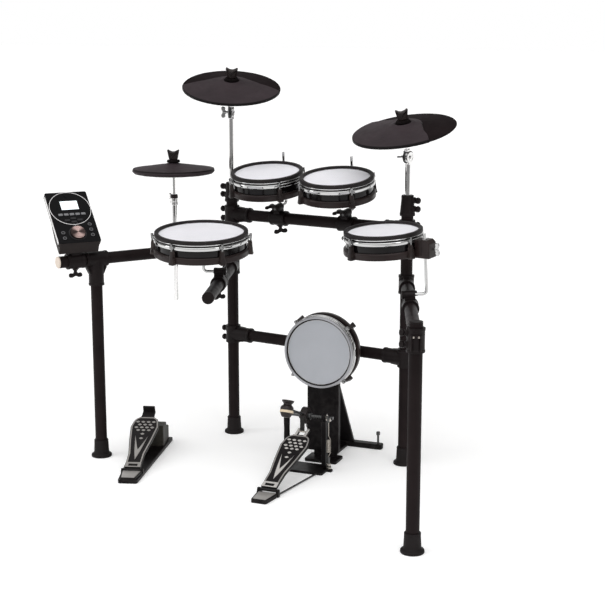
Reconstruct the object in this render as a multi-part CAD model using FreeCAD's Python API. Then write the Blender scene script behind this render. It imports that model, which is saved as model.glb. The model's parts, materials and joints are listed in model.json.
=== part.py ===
import FreeCAD, Part
import math
import os

# An electronic drum kit on a tube rack. Millimetres, +Z up, -Y towards the player.
# The layout is drawn from the foot of the back left post, then the whole kit is shifted
# so that the origin lies under the middle of its box.

# Fits and cuts
fit_gap = 0.05
soft_gap = 0.35
cut_over = 2.0

# Rack tubes and where the posts stand
tube_radius = 19.05
tube_wall = 2.0
post_spread = 674.0
post_height = 872.0
left_arm_reach = 508.0
left_arm_turn = 25.9
left_arm_drop = 205.0
left_stub = 128.0
right_arm_reach = 764.0
right_arm_turn = 29.5
low_arm_step = 67.0
right_post_over = 42.0
snare_arm_reach = 582.0
snare_arm_turn = 27.4
upper_bar_drop = 95.0
lower_bar_height = 358.0
cap_thickness = 5.0

# Rubber feet
foot_floor = 6.0
foot_height = 58.0
foot_wall = 4.5
foot_flange_radius = 34.0
foot_flange_height = 9.0
foot_flare_height = 18.0

# Moulded tube clamps and their screws
sleeve_radius = 24.5
collar_radius = 27.0
collar_width = 7.0
post_run = 60.0
arm_run = 76.0
tall_run = 86.0
arm_sleeve_slack = 0.4
tee_screw_pitch = 32.0
boss_radius = 8.5
boss_reach = 30.0
stem_radius = 4.5
stem_length = 9.0
knob_radius = 11.5
knob_length = 13.5
knob_stem_length = 1.5
wing_span = 46.0
wing_width = 9.0
wing_height = 15.0
wing_dip_share = 0.45

# Top sleeves that hold the cymbal tubes
top_sleeve_height = 66.0
top_sleeve_lap = 52.0
top_sleeve_tip_radius = 20.5
top_screw_drop = 16.0
top_screw_pitch = 27.0

# Drum mounts: a clamp on a tube, a cross barrel and a bent rod
mount_run = 58.0
barrel_radius = 12.5
barrel_lift = 37.0
barrel_half = 16.0
barrel_web = 22.0
barrel_boss_reach = 19.0
rod_radius = 5.0
rod_offset = 50.0
rod_bend = 14.0
rod_tail = 8.0
knuckle_radius = 13.0
knuckle_width = 8.0

# Drum pads
small_radius = 117.5
snare_radius = 143.0
pad_wall_inset = 4.0
pad_wall = 6.0
base_lip = 4.0
base_ring_height = 21.0
band_foot = 42.0
band_height = 11.5
band_lip = 3.0
neck_height = 4.0
neck_inset = 1.0
lip_height = 7.0
lip_reach = 1.5
lip_band = 5.0
rim_height = 7.0
rim_width = 12.4
rim_skirt = 2.0
rim_chamfer = 2.2
head_thickness = 1.5
head_seat = 3.0
floor_thickness = 3.0
floor_lift = 4.0
sensor_bar_width = 32.0
sensor_bar_thickness = 3.0
sensor_bar_lift = 20.0
sensor_base_radius = 15.0
sensor_tip_radius = 9.0
jack_radius = 9.0
jack_bore = 3.3
jack_length = 14.0
lug_top_width = 9.0
lug_foot_width = 19.0
lug_depth = 12.0
lug_foot = -2.0
lug_height = 43.0
lug_tip_depth_share = 0.7
tension_radius = 3.0
claw_width = 13.0
claw_height = 9.0
claw_depth = 11.0
claw_lift = 47.5
nut_radius = 4.5
nut_height = 6.0
block_depth = 48.0
block_width = 40.0
block_height = 54.0
block_drop = 3.0
block_rod_reach = 26.0
block_chamfer = 9.0
nut_span = 38.0
nut_wing_width = 4.0
nut_wing_height = 15.0

# Drum places
tom_1_along = 193.0
tom_2_along = 455.0
tom_1_rod_rise = 215.0
tom_2_rod_rise = 213.0
tom_1_rise = 192.0
tom_2_rise = 190.0
tom_block_turn = 10.0
tom_lean = 9.7
tom_roll = 2.2
tom_lugs = 4
tom_lug_start = 41.0
floor_tom_along = 358.0
floor_tom_rise = 221.5
floor_tom_rod_rise = 218.0
floor_tom_block_turn = -35.0
floor_tom_lean = 3.5
floor_tom_roll = 3.3
floor_tom_lug_start = -17.0
snare_along = 336.0
snare_rise = 214.0
snare_rod_rise = 206.0
snare_block_turn = -82.4
snare_roll = -5.5
snare_lugs = 6
snare_lug_start = 25.0

# Cymbal stands and pads
stand_radius = 9.5
stand_wall = 1.6
stand_tail = 140.0
tilter_radius = 20.0
tilter_width = 10.0
tilter_gap = 0.1
tilter_clear = 0.8
pin_radius = 4.0
pin_top = 24.0
crash_pivot_rise = 250.0
crash_lean = 17.5
crash_lean_turn = -50.0
ride_pivot_rise = 133.0
ride_lean = 15.5
ride_lean_turn = -98.0
pad_lift = 104.0
cymbal_radius = 164.0
cymbal_bore = 6.5
cymbal_hub_half = 7.0
cymbal_bell_radius = 30.0
cymbal_bell_drop = 3.0
cymbal_drop = 15.0
cymbal_edge = 6.0
zone_rise = 2.6
zone_half_turn = 78.0
zone_inner_radius = 40.0
zone_margin = 1.0
seat_gap = 0.6
seat_radius = 13.0
seat_height = 8.0
seat_relief = 1.6
seat_flat_radius = 8.0
topper_base_radius = 25.0
topper_base_height = 9.0
topper_waist = 27.0
topper_span = 41.0
topper_height = 30.0
topper_depth = 19.0
topper_dip = 6.0
hihat_topper_turn = 30.0
hihat_along = 203.0
hihat_side = 34.0
hihat_grip_wall = 4.5
hihat_grip_reach = 24.0
hihat_tube_drop = 174.0
hihat_tube_rise = 151.0
hihat_clutch_height = 36.0
hihat_clutch_radius = 12.5
hihat_pad_rise = 280.0
hihat_rod_radius = 5.0
hihat_rod_lap = 120.0
hihat_radius = 137.0
hihat_drop = 6.0
hihat_edge = 18.0
hihat_hub_half = 12.0

# Kick tower and the pad on it
kick_spot_x = 440.0
kick_spot_y = -157.0
kick_turn = 10.0
kick_height = 376.0
kick_lug_start = 42.0
tower_half_width = 55.0
tower_side = -10.0
tower_plate = 4.0
tower_flange = 14.0
tower_top = 455.0
tower_foot_gap = 24.0
tower_base_front = 18.0
tower_base_rear = 78.0
tower_base_half = 56.0
tower_base_height = 10.0
brace_top = 258.0
brace_reach = 150.0
brace_sheet = 4.0
brace_half_width = 45.0
rear_foot_half = 144.0
rear_foot_width = 30.0
rear_foot_height = 18.0
stud_radius = 4.0
stud_height = 30.0
stud_inset = 16.0
stud_knob_radius = 6.5
stud_knob_height = 12.0

# Pedals
pedal_spot_x = 414.0
pedal_spot_y = -190.0
pedal_turn = 10.0
pedal_post_half = 66.0
pedal_post_width = 14.0
pedal_post_depth = 24.0
pedal_shaft_height = 172.0
pedal_shaft_radius = 6.0
pedal_shaft_over = 22.0
pedal_bearing_radius = 14.0
pedal_base_half = 85.0
pedal_base_front = 74.0
pedal_base_rear = 16.0
pedal_base_height = 8.0
heel_front = 385.0
heel_rear = 312.0
heel_front_half = 25.0
heel_rear_half = 34.0
heel_height = 13.0
link_rod_radius = 3.0
link_rod_lift = 5.0
board_hinge_height = 19.0
board_hinge_radius = 5.0
board_run = 298.0
board_rise = 104.0
board_sheet = 9.0
board_half = 47.0
board_waist_half = 27.0
board_heel_half = 31.0
board_tip_half = 21.0
board_waist_share = 0.12
board_wide_share = 0.70
board_shoulder_share = 0.84
clevis_slot_half = 11.0
clevis_slot_length = 36.0
clevis_pin_radius = 2.5
clevis_pin_gap = 0.5
toe_half = 14.0
toe_height = 34.0
toe_sheet = 7.0
cam_radius = 30.0
cam_half = 10.0
strap_half = 8.0
strap_sheet = 2.0
beater_reach = 170.0
beater_lean = 22.0
beater_rod_radius = 4.5
beater_hub_radius = 12.0
beater_head_radius = 21.0
beater_waist_radius = 13.0
beater_half = 27.0
beater_band = 14.0
crank_length = 24.0
crank_width = 8.0
crank_sheet = 6.0
spring_radius = 6.5
spring_wire = 1.0
spring_pitch = 3.0
spring_turns = 14
spring_foot = 64.0
spring_neck = 14.0
spring_bolt_radius = 4.5
hihat_pedal_x = 31.0
hihat_pedal_y = -635.0
hihat_pedal_turn = 27.0
hihat_pedal_length = 465.0
hihat_pedal_front_half = 31.0
hihat_pedal_rear_half = 62.0
hihat_pedal_sheet = 12.0
hihat_board_front = 75.0
housing_front = 352.0
housing_half = 50.0
housing_low = 60.0
housing_high = 84.0
housing_step = 420.0
stop_radius = 11.0
stop_place = 300.0
stop_height = 66.0

# Sound module
module_width = 139.0
module_length = 211.0
module_slope = 42.5
module_turn = -32.0
module_off_x = 42.34
module_off_y = -18.73
module_edge_rise = 67.0
module_skin = 2.0
module_deck = 20.0
module_skirt = 40.0
module_skirt_back = 24.4
module_belly = 46.0
module_belly_share = 0.236
module_back_share = 0.8
module_side_inset = 10.0
module_corner = 6.0
screen_width = 57.0
screen_length = 36.0
screen_place_share = 0.27
screen_rise = 0.8
ring_place_share = 0.333
ring_radius = 68.5
ring_width = 2.0
ring_rise = 1.4
dial_radius = 25.3
dial_height = 14.0
dial_place_share = 0.825
dial_post_radius = 3.0
dial_post_length = 8.0
key_travel = 1.5
key_gap = 0.4
key_rise = 2.6
soft_key_width = 14.8
soft_key_length = 9.0
soft_key_pitch = 18.8
soft_key_count = 5
soft_key_place_share = 0.451
menu_key_width = 17.0
menu_key_length = 8.0
menu_key_side = 21.0
menu_key_rise = 7.0
menu_key_place_share = 0.568
round_key_radius = 6.4
round_key_pitch = 22.0
round_key_side = 47.0
round_key_left_share = 0.805
round_key_right_share = 0.668
round_key_left_count = 2
round_key_right_count = 3
module_clamp_along = 72.0
module_clamp_run = 58.0
module_web_half = 17.0
module_web_depth = 14.0
module_web_height = 60.0

up = FreeCAD.Vector(0, 0, 1)
along_x = FreeCAD.Vector(1, 0, 0)
along_y = FreeCAD.Vector(0, 1, 0)
nowhere = FreeCAD.Vector(0, 0, 0)


def spot(x, y, z=0):
    return FreeCAD.Vector(x, y, z)


def heading(turn):
    """Level unit vector, turned from +X."""
    return spot(math.cos(math.radians(turn)), math.sin(math.radians(turn)))


def rod(start, end, radius):
    run = end.sub(start)
    return Part.makeCylinder(radius, run.Length, start, run)


def pipe(start, end, radius, bore):
    return rod(start, end, radius).cut(rod(start, end, bore))


def disc(radius, low, high, bore=0):
    """Ring or disc round the Z axis between two heights."""
    solid = Part.makeCylinder(radius, high - low, spot(0, 0, low))
    if bore > 0:
        solid = solid.cut(Part.makeCylinder(bore, high - low, spot(0, 0, low)))
    return solid


def slab(half_x, front, rear, low, high):
    """Upright box, centred across X."""
    return Part.makeBox(2 * half_x, rear - front, high - low, spot(-half_x, front, low))


def turned(outline, angle=360):
    """Solid of revolution round Z from (radius, height) pairs."""
    points = [spot(radius, 0, height) for radius, height in outline]
    face = Part.Face(Part.makePolygon(points + points[:1]))
    return face.revolve(nowhere, up, angle)


def prism(points, sweep):
    face = Part.Face(Part.makePolygon(points + points[:1]))
    return face.extrude(sweep)


def joined(first, *others):
    return first.multiFuse(list(others)).removeSplitter()


def group(*solids):
    return Part.makeCompound(list(solids))


def placed(shape, place, turn=0, axis=up):
    copy = shape.copy()
    frame = FreeCAD.Placement(place, FreeCAD.Rotation(axis, turn))
    copy.Placement = frame.multiply(copy.Placement)
    return copy


def seated(shape, place, x_way, z_way):
    """Copy of a shape whose own X and Z point along two square directions."""
    copy = shape.copy()
    rotation = FreeCAD.Rotation(x_way, z_way.cross(x_way), z_way, "ZXY")
    copy.Placement = FreeCAD.Placement(place, rotation).multiply(copy.Placement)
    return copy


def leaned(shape, pivot, axis, angle):
    copy = shape.copy()
    copy.rotate(pivot, axis, angle)
    return copy


# Heights that follow the posts
upper_bar_height = post_height - upper_bar_drop
left_arm_height = post_height - left_arm_drop
low_arm_height = left_arm_height - low_arm_step
right_post_height = low_arm_height + right_post_over
crash_pivot = post_height + crash_pivot_rise
ride_pivot = post_height + ride_pivot_rise
hihat_tube_foot = left_arm_height - hihat_tube_drop
hihat_tube_top = left_arm_height + hihat_tube_rise
hihat_pad_height = left_arm_height + hihat_pad_rise

# Post, arm and bar lines
back_left = spot(0, 0)
back_right = spot(post_spread, 0)
left_way = heading(-90 - left_arm_turn)
right_way = heading(-90 + right_arm_turn)
snare_way = heading(-90 + snare_arm_turn)
front_left = back_left + left_way * left_arm_reach
front_right = back_right + right_way * right_arm_reach
tube_bore = tube_radius + fit_gap
tee_steps = (tee_screw_pitch / 2, -tee_screw_pitch / 2)


def raised(point, height):
    return point + up * height


def rack_tube(start, end):
    return pipe(start, end, tube_radius, tube_radius - tube_wall)


def knob_bolt(face, way):
    """Round knob on a stem that ends on the clamp's boss."""
    stem = disc(stem_radius, 0, knob_stem_length)
    flank = knob_length / 4
    waist = knob_radius * 3 / 4
    top = knob_stem_length + knob_length
    outline = [(0, knob_stem_length), (waist, knob_stem_length), (knob_radius, knob_stem_length + flank),
               (knob_radius, top - flank), (waist, top), (0, top)]
    bolt = joined(stem, turned(outline))
    return seated(bolt, face, way.cross(up), way)


def wing_bolt(face, way, blade_way, span=wing_span, width=wing_width, height=wing_height):
    """Two-winged screw: a stem, and a blade with a dip between its wings."""
    stem = disc(stem_radius, 0, stem_length + height / 2)
    half = span / 2
    dip = height * (1 - wing_dip_share)
    low = stem_length
    points = [spot(-stem_radius, 0, low), spot(stem_radius, 0, low), spot(half, 0, low + dip),
              spot(half, 0, low + height), spot(stem_radius, 0, low + dip),
              spot(-stem_radius, 0, low + dip), spot(-half, 0, low + height), spot(-half, 0, low + dip)]
    blade = prism([point - along_y * (width / 2) for point in points], along_y * width)
    return seated(joined(stem, blade), face, blade_way, way)


def collared_sleeve(start, end, slack=0):
    """Clamp sleeve on a tube line, with a raised collar at each end."""
    way = end.sub(start).normalize()
    return [rod(start, end, sleeve_radius - slack),
            rod(start, start + way * collar_width, collar_radius - slack),
            rod(end - way * collar_width, end, collar_radius - slack)]


def boss(centre, way):
    return rod(centre, centre + way * boss_reach, boss_radius)


def bored(body, *lines):
    for start, end in lines:
        way = end.sub(start).normalize() * cut_over
        body = body.cut(rod(start - way, end + way, tube_bore))
    return body


def tee_clamp(post, height, way, bolt_way, low_run=post_run / 2, high_run=post_run / 2):
    """Sleeve round a post, a sleeve round the tube that leaves it, and two screw bosses."""
    centre = raised(post, height)
    low = raised(post, height - low_run)
    high = raised(post, height + high_run)
    body = collared_sleeve(low, high)
    body += collared_sleeve(centre, centre + way * arm_run, arm_sleeve_slack)
    body += [boss(raised(post, height + step), bolt_way) for step in tee_steps]
    return bored(joined(*body), (low, high), (centre + way * tube_bore, centre + way * arm_run))


def tee_bolts(post, height, bolt_way):
    """The two knobs of a tee clamp."""
    return [knob_bolt(raised(post, height + step) + bolt_way * boss_reach, bolt_way) for step in tee_steps]


def foot(post):
    """Rubber boot over a post's end, flared to a flange on the floor."""
    outer = tube_bore + foot_wall
    outline = [(0, 0), (foot_flange_radius, 0), (foot_flange_radius, foot_flange_height),
               (outer, foot_flare_height), (outer, foot_height), (tube_bore, foot_height),
               (tube_bore, foot_floor), (0, foot_floor)]
    return placed(turned(outline), post)


def end_plug(end, way):
    """Cap that closes a tube's open end."""
    inner = tube_radius - tube_wall - fit_gap
    head = rod(end, end + way * cap_thickness, tube_radius)
    neck = rod(end - way * cap_thickness * 2, end, inner)
    return joined(head, neck)


def top_sleeve(post):
    """Tapered sleeve on a back post's end, bored for the cymbal tube."""
    low = post_height - top_sleeve_lap
    high = low + top_sleeve_height
    inner = tube_radius - tube_wall - fit_gap
    outline = [(sleeve_radius, low), (top_sleeve_tip_radius, high), (stand_radius + fit_gap, high),
               (stand_radius + fit_gap, low), (inner, low), (inner, post_height), (tube_bore, post_height),
               (tube_bore, low)]
    return placed(turned(outline), post)


def rack():
    """The fixed back frame: posts, bars, feet, clamps and screws."""
    tail = spot(0, 0, foot_floor)
    posts = [rack_tube(post + tail, raised(post, post_height - fit_gap)) for post in (back_left, back_right)]
    reach = along_x * (tube_radius + fit_gap)
    bars = [rack_tube(raised(back_left, height) + reach, raised(back_right, height) - reach)
            for height in (upper_bar_height, lower_bar_height)]
    clamps = []
    bolts = []
    top_centre = post_height - top_sleeve_lap + top_sleeve_height - top_screw_drop
    for post, way in ((back_left, along_x), (back_right, along_x * -1)):
        for height in (upper_bar_height, lower_bar_height):
            clamps.append(tee_clamp(post, height, way, way * -1))
            bolts += tee_bolts(post, height, way * -1)
        sleeve = top_sleeve(post)
        for step in range(2):
            centre = raised(post, top_centre - step * top_screw_pitch)
            sleeve = sleeve.fuse(boss(centre, way * -1))
            bolts.append(knob_bolt(centre - way * boss_reach, way * -1))
        sleeve = sleeve.cut(rod(post, raised(post, post_height - fit_gap), tube_bore))
        sleeve = sleeve.cut(rod(post, raised(post, 2 * post_height), stand_radius + fit_gap))
        clamps.append(sleeve)
    return {"back_frame": group(*posts, *bars), "back_feet": group(foot(back_left), foot(back_right)),
            "rack_clamps": group(*clamps, *bolts)}


def pair_clamp(centre, way, side, tube, run):
    """Clamp on a level tube that also grips a thinner upright tube beside it."""
    half = way * (mount_run / 2)
    body = collared_sleeve(centre - half, centre + half)
    grip = centre + side * tube
    low = grip - up * (run / 2)
    high = grip + up * (run / 2)
    body += [rod(low, high, stand_radius + hihat_grip_wall), rod(centre, grip, barrel_radius),
             rod(grip, grip + side * hihat_grip_reach, boss_radius)]
    clamp = bored(joined(*body), (centre - half, centre + half))
    return clamp.cut(rod(low - up * cut_over, high + up * cut_over, stand_radius + fit_gap))


def left_wing():
    """Left arm with its post, its clamps and the hi-hat clamp."""
    start = raised(back_left, left_arm_height) + left_way * (tube_radius + fit_gap)
    end = raised(front_left, left_arm_height) + left_way * left_stub
    arm = rack_tube(start, end)
    corner = raised(front_left, left_arm_height)
    post_top = corner - up * (tube_radius + fit_gap)
    post = rack_tube(raised(front_left, foot_floor), post_top)
    back_clamp = tee_clamp(back_left, left_arm_height, left_way, left_way * -1)
    half = left_way * (arm_run / 2)
    drop = corner - up * tall_run
    side = left_way.cross(up)
    body = collared_sleeve(corner - half, corner + half, arm_sleeve_slack) + collared_sleeve(drop, corner)
    body += [boss(corner - up * post_run, side)]
    front_clamp = bored(joined(*body), (corner - half, corner + half), (drop, post_top))
    grip = raised(back_left, left_arm_height) + left_way * hihat_along
    hihat_clamp = pair_clamp(grip, left_way, hihat_way, hihat_side, post_run)
    bolts = [knob_bolt(corner - up * post_run + side * boss_reach, side),
             knob_bolt(grip + hihat_way * (hihat_side + hihat_grip_reach), hihat_way)]
    bolts += tee_bolts(back_left, left_arm_height, left_way * -1)
    return {"left_arm": group(arm, end_plug(end, left_way)), "left_post": post,
            "left_foot": foot(front_left),
            "left_clamps": group(back_clamp, front_clamp, hihat_clamp, *bolts)}


def right_wing():
    """Right arm with its post."""
    start = raised(back_right, low_arm_height) + right_way * (tube_radius + fit_gap)
    corner = raised(front_right, low_arm_height)
    arm = rack_tube(start, corner - right_way * (tube_radius + fit_gap))
    top = raised(front_right, right_post_height)
    post = rack_tube(raised(front_right, foot_floor), top)
    back_clamp = tee_clamp(back_right, low_arm_height, right_way, right_way * -1)
    side = right_way.cross(up)
    low_run = post_run / 2 + collar_width
    front_clamp = tee_clamp(front_right, low_arm_height, right_way * -1, side, low_run)
    bolts = tee_bolts(back_right, low_arm_height, right_way * -1)
    bolts += tee_bolts(front_right, low_arm_height, side)
    return {"right_arm": arm, "right_post": group(post, end_plug(top, up)),
            "right_foot": foot(front_right), "right_clamps": group(back_clamp, front_clamp, *bolts)}


def mount_clamp(centre, way, side):
    """Clamp on a tube, a cross barrel above it that grips a bent rod, and both screws."""
    half = way * (mount_run / 2)
    barrel = raised(centre, barrel_lift)
    reach = side * barrel_half
    web = seated(slab(barrel_web / 2, -barrel_half, barrel_half, 0, barrel_lift), centre, way, up)
    body = collared_sleeve(centre - half, centre + half)
    body += [rod(barrel - reach, barrel + reach, barrel_radius), web, boss(centre, up * -1),
             rod(barrel - reach - side * knuckle_width, barrel - reach, knuckle_radius),
             rod(barrel, barrel - way * barrel_boss_reach, boss_radius)]
    clamp = bored(joined(*body), (centre - half, centre + half))
    clamp = clamp.cut(rod(barrel - reach, barrel + reach * 2, rod_radius + fit_gap))
    tube_screw = wing_bolt(centre - up * boss_reach, up * -1, way)
    rod_screw = wing_bolt(barrel - way * barrel_boss_reach, way * -1, side)
    return [clamp, tube_screw, rod_screw]


def bent_rod(centre, side, rise):
    """L-shaped rod: one leg lies in the barrel, the other stands beside the drum."""
    barrel = raised(centre, barrel_lift)
    start = barrel - side * (barrel_half - rod_tail)
    corner = barrel + side * rod_offset
    into = corner - side * rod_bend
    out = corner + up * rod_bend
    middle = corner + (up - side) * (rod_bend * (1 - math.sqrt(1 / 2)))
    edges = [Part.LineSegment(start, into).toShape(), Part.Arc(into, middle, out).toShape(),
             Part.LineSegment(out, corner + up * (rise - barrel_lift)).toShape()]
    path = Part.Wire(edges)
    section = Part.Wire([Part.Circle(start, side, rod_radius).toShape()])
    return path.makePipeShell([section], True, False)


def pad_heights():
    """Heights of a drum pad's layers, from its base up."""
    neck_foot = band_foot + band_height
    lip_foot = neck_foot + neck_height
    lip_top = lip_foot + lip_height
    return neck_foot, lip_foot, lip_top, lip_top + rim_height


def pad_shell(radius):
    """Wall, base ring, floor, sensor bar and sensor cone of a drum pad."""
    lip_top = pad_heights()[2]
    outer = radius - pad_wall_inset
    inner = outer - pad_wall
    edge = lip_top - head_seat
    wall = disc(outer, 0, edge, inner)
    ring = disc(radius + base_lip, 0, base_ring_height, outer + fit_gap)
    floor = disc(inner - fit_gap, floor_lift, floor_lift + floor_thickness)
    bar_top = sensor_bar_lift + sensor_bar_thickness
    bar = slab(inner, -sensor_bar_width / 2, sensor_bar_width / 2, sensor_bar_lift, bar_top)
    bar = bar.common(disc(inner - fit_gap, 0, edge))
    cone = Part.makeCone(sensor_base_radius, sensor_tip_radius, edge - soft_gap - bar_top, spot(0, 0, bar_top))
    return [wall, ring, floor, bar, cone]


def pad_head(radius):
    lip_top = pad_heights()[2]
    low = lip_top - head_seat
    return disc(radius - pad_wall_inset + fit_gap, low, low + head_thickness)


def pad_hoop(radius):
    """Counter hoop with a broad lower band and a narrow upper lip, and the rim on it."""
    neck_foot, lip_foot, lip_top, top = pad_heights()
    inner = radius - pad_wall_inset + soft_gap
    head_top = lip_top - head_seat + head_thickness + fit_gap
    rise = neck_inset + band_lip
    hoop = turned([(inner, band_foot), (radius + band_lip, band_foot), (radius + band_lip, neck_foot),
                   (radius - neck_inset, neck_foot + rise / 3), (radius - neck_inset, lip_foot - rise / 3),
                   (radius + lip_reach, lip_foot), (radius + lip_reach, lip_foot + lip_band),
                   (radius - rim_skirt, lip_foot + lip_band), (radius - rim_skirt, lip_top),
                   (radius - rim_width, lip_top), (radius - rim_width, head_top), (inner, head_top)])
    rim = turned([(radius - rim_width, lip_top), (radius - rim_skirt, lip_top),
                  (radius - rim_skirt, lip_foot + lip_band), (radius, lip_foot + lip_band),
                  (radius, top - rim_chamfer),
                  (radius - rim_chamfer, top), (radius - rim_width + rim_chamfer, top),
                  (radius - rim_width, top - rim_chamfer)])
    return group(hoop, rim)


def pad_lug(radius):
    """One lug casing, wider at its foot, with its tension rod, claw and nut."""
    seat = radius + base_lip + fit_gap
    out = seat + lug_depth
    top = lug_foot + lug_height
    tip = seat + lug_depth * lug_tip_depth_share
    low = [spot(radius, -lug_foot_width / 2, lug_foot), spot(out, -lug_foot_width / 2, lug_foot),
           spot(out, lug_foot_width / 2, lug_foot), spot(radius, lug_foot_width / 2, lug_foot)]
    high = [spot(radius, -lug_top_width / 2, top), spot(tip, -lug_top_width / 2, top),
            spot(tip, lug_top_width / 2, top), spot(radius, lug_top_width / 2, top)]
    wires = [Part.makePolygon(points + points[:1]) for points in (low, high)]
    casing = Part.makeLoft(wires, True, True).cut(disc(seat, 0, 2 * top))
    centre = seat + lug_depth * lug_tip_depth_share / 2
    claw_top = claw_lift + claw_height
    claw = Part.makeBox(claw_depth, claw_width, claw_height, spot(radius, -claw_width / 2, claw_lift))
    claw = claw.cut(disc(radius + band_lip + fit_gap, 0, 2 * claw_top))
    tension = Part.makeCylinder(tension_radius, claw_top - top, spot(centre, 0, top))
    nut = Part.makeCylinder(nut_radius, nut_height, spot(centre, 0, claw_top))
    return [casing, joined(claw, tension, nut)]


def pad_lugs(radius, count, start):
    solids = []
    for step in range(count):
        for solid in pad_lug(radius):
            solids.append(placed(solid, nowhere, start + step * 360 / count))
    return group(*solids)


def pad_block(radius):
    """Mount block on the base ring, bored upright for the bent rod, with its wing nut."""
    seat = radius + base_lip + fit_gap
    out = seat + block_depth
    half = block_width / 2
    low = -block_drop
    high = low + block_height
    points = [spot(radius, -half, low), spot(out, -half, low), spot(out, -half, high - block_chamfer),
              spot(out - block_chamfer, -half, high), spot(radius, -half, high)]
    body = prism(points, along_y * block_width).cut(disc(seat, low - cut_over, high + cut_over))
    bore = Part.makeCylinder(rod_radius + fit_gap, block_height + 2 * cut_over,
                             spot(radius + block_rod_reach, 0, low - cut_over))
    middle = spot(out, 0, (low + high) / 2)
    nut = wing_bolt(middle, along_x, up, nut_span, nut_wing_width, nut_wing_height)
    return [body.cut(bore), nut]


def pad_jack(radius):
    """Cable socket in the base ring's underside floor."""
    inner = radius - pad_wall_inset - pad_wall
    place = inner - 2 * jack_radius
    return placed(disc(jack_radius, floor_lift - jack_length / 4, floor_lift, jack_bore), spot(-place, 0))


def drum(name, radius, count, lug_start, place):
    """Shell, head, hoop and lugs of one pad, put in place by a function."""
    shell = group(*pad_shell(radius), *pad_block(radius), pad_jack(radius))
    solids = {"shell": shell, "head": pad_head(radius), "hoop": pad_hoop(radius),
              "lugs": pad_lugs(radius, count, lug_start)}
    return {name + "_" + part: place(solid) for part, solid in solids.items()}


def hung_drum(name, radius, count, lug_start, mount, pose):
    """Drum on a bent rod: the rod turns in its clamp's barrel, and the clamp on its tube."""
    centre, way, side = mount
    rise, rod_rise, block_turn, roll, lean = pose
    block_way = turned_way(side, block_turn)
    middle = centre + side * rod_offset - block_way * (radius + block_rod_reach)
    base = middle + up * (rise - pad_heights()[3])

    def pose_rod(solid):
        return leaned(leaned(solid, raised(centre, barrel_lift), side, roll), centre, way, lean)

    def pose_pad(solid):
        return pose_rod(seated(solid, base, block_way, up))

    nodes = drum(name, radius, count, lug_start, pose_pad)
    clamps = [leaned(solid, centre, way, lean) for solid in mount_clamp(centre, way, side)]
    return nodes, clamps, pose_rod(bent_rod(centre, side, rod_rise))


def side_toms():
    """Two rack toms on the upper bar and the floor tom on the right arm."""
    tom_1_pose = (tom_1_rise, tom_1_rod_rise, tom_block_turn, tom_roll, tom_lean)
    tom_2_pose = (tom_2_rise, tom_2_rod_rise, tom_block_turn, tom_roll, tom_lean)
    floor_pose = (floor_tom_rise, floor_tom_rod_rise, floor_tom_block_turn, floor_tom_roll, floor_tom_lean)
    nodes = {}
    for name, mount, start, pose in (("tom_1", tom_1_mount, tom_lug_start, tom_1_pose),
                                     ("tom_2", tom_2_mount, tom_lug_start, tom_2_pose),
                                     ("floor_tom", floor_tom_mount, floor_tom_lug_start, floor_pose)):
        pieces, clamps, bent = hung_drum(name, small_radius, tom_lugs, start, mount, pose)
        nodes.update(pieces)
        nodes[name + "_mount"] = group(*clamps, bent)
    return nodes


def snare():
    """Snare arm, and the snare drum on a rod that turns in the arm's barrel."""
    start = raised(back_left, low_arm_height) + snare_way * (tube_radius + fit_gap)
    end = raised(back_left, low_arm_height) + snare_way * snare_arm_reach
    pose = (snare_rise, snare_rod_rise, snare_block_turn, snare_roll, 0)
    nodes, clamps, bent = hung_drum("snare", snare_radius, snare_lugs, snare_lug_start, snare_mount, pose)
    clamps.append(tee_clamp(back_left, low_arm_height, snare_way, snare_way * -1))
    clamps += tee_bolts(back_left, low_arm_height, snare_way * -1)
    nodes["snare_rod"] = bent
    nodes["snare_arm"] = group(rack_tube(start, end), end_plug(end, snare_way))
    nodes["snare_clamps"] = group(*clamps)
    return nodes


def turned_way(way, turn):
    return FreeCAD.Rotation(up, turn).multVec(way)


tom_1_mount = (spot(tom_1_along, 0, upper_bar_height), along_x, along_y)
tom_2_mount = (spot(tom_2_along, 0, upper_bar_height), along_x, along_y)
floor_tom_spot = raised(back_right, low_arm_height) + right_way * floor_tom_along
floor_tom_mount = (floor_tom_spot, right_way, up.cross(right_way))
snare_spot = raised(back_left, low_arm_height) + snare_way * snare_along
snare_mount = (snare_spot, snare_way, snare_way.cross(up))
hihat_way = left_way.cross(up)
hihat_spot = back_left + left_way * hihat_along + hihat_way * hihat_side
module_grip = raised(front_left, left_arm_height) + left_way * module_clamp_along


def cymbal(radius, drop, edge, hub_half, zone_turn):
    """Rubber cymbal pad round the Z axis: a bell, a sloping bow and a raised strike zone."""
    bell = cymbal_bell_radius
    bell_top = hub_half - cymbal_bell_drop
    body = turned([(cymbal_bore, -hub_half), (bell, -hub_half), (radius - edge, -drop - edge),
                   (radius, -drop - edge / 2), (radius - edge / 3, -drop), (bell, bell_top),
                   (bell * 2 / 3, hub_half), (cymbal_bore, hub_half)])
    if zone_turn is None:
        return body
    outer = radius - zone_margin
    slope = (bell_top + drop) / (radius - edge / 3 - bell)
    near = bell_top - slope * (zone_inner_radius - bell)
    zone = turned([(zone_inner_radius, -hub_half), (outer, -drop - edge / 2), (outer, zone_rise - drop),
                   (zone_inner_radius, near + zone_rise)], 2 * zone_half_turn)
    return joined(body, placed(zone, nowhere, zone_turn - zone_half_turn))


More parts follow.
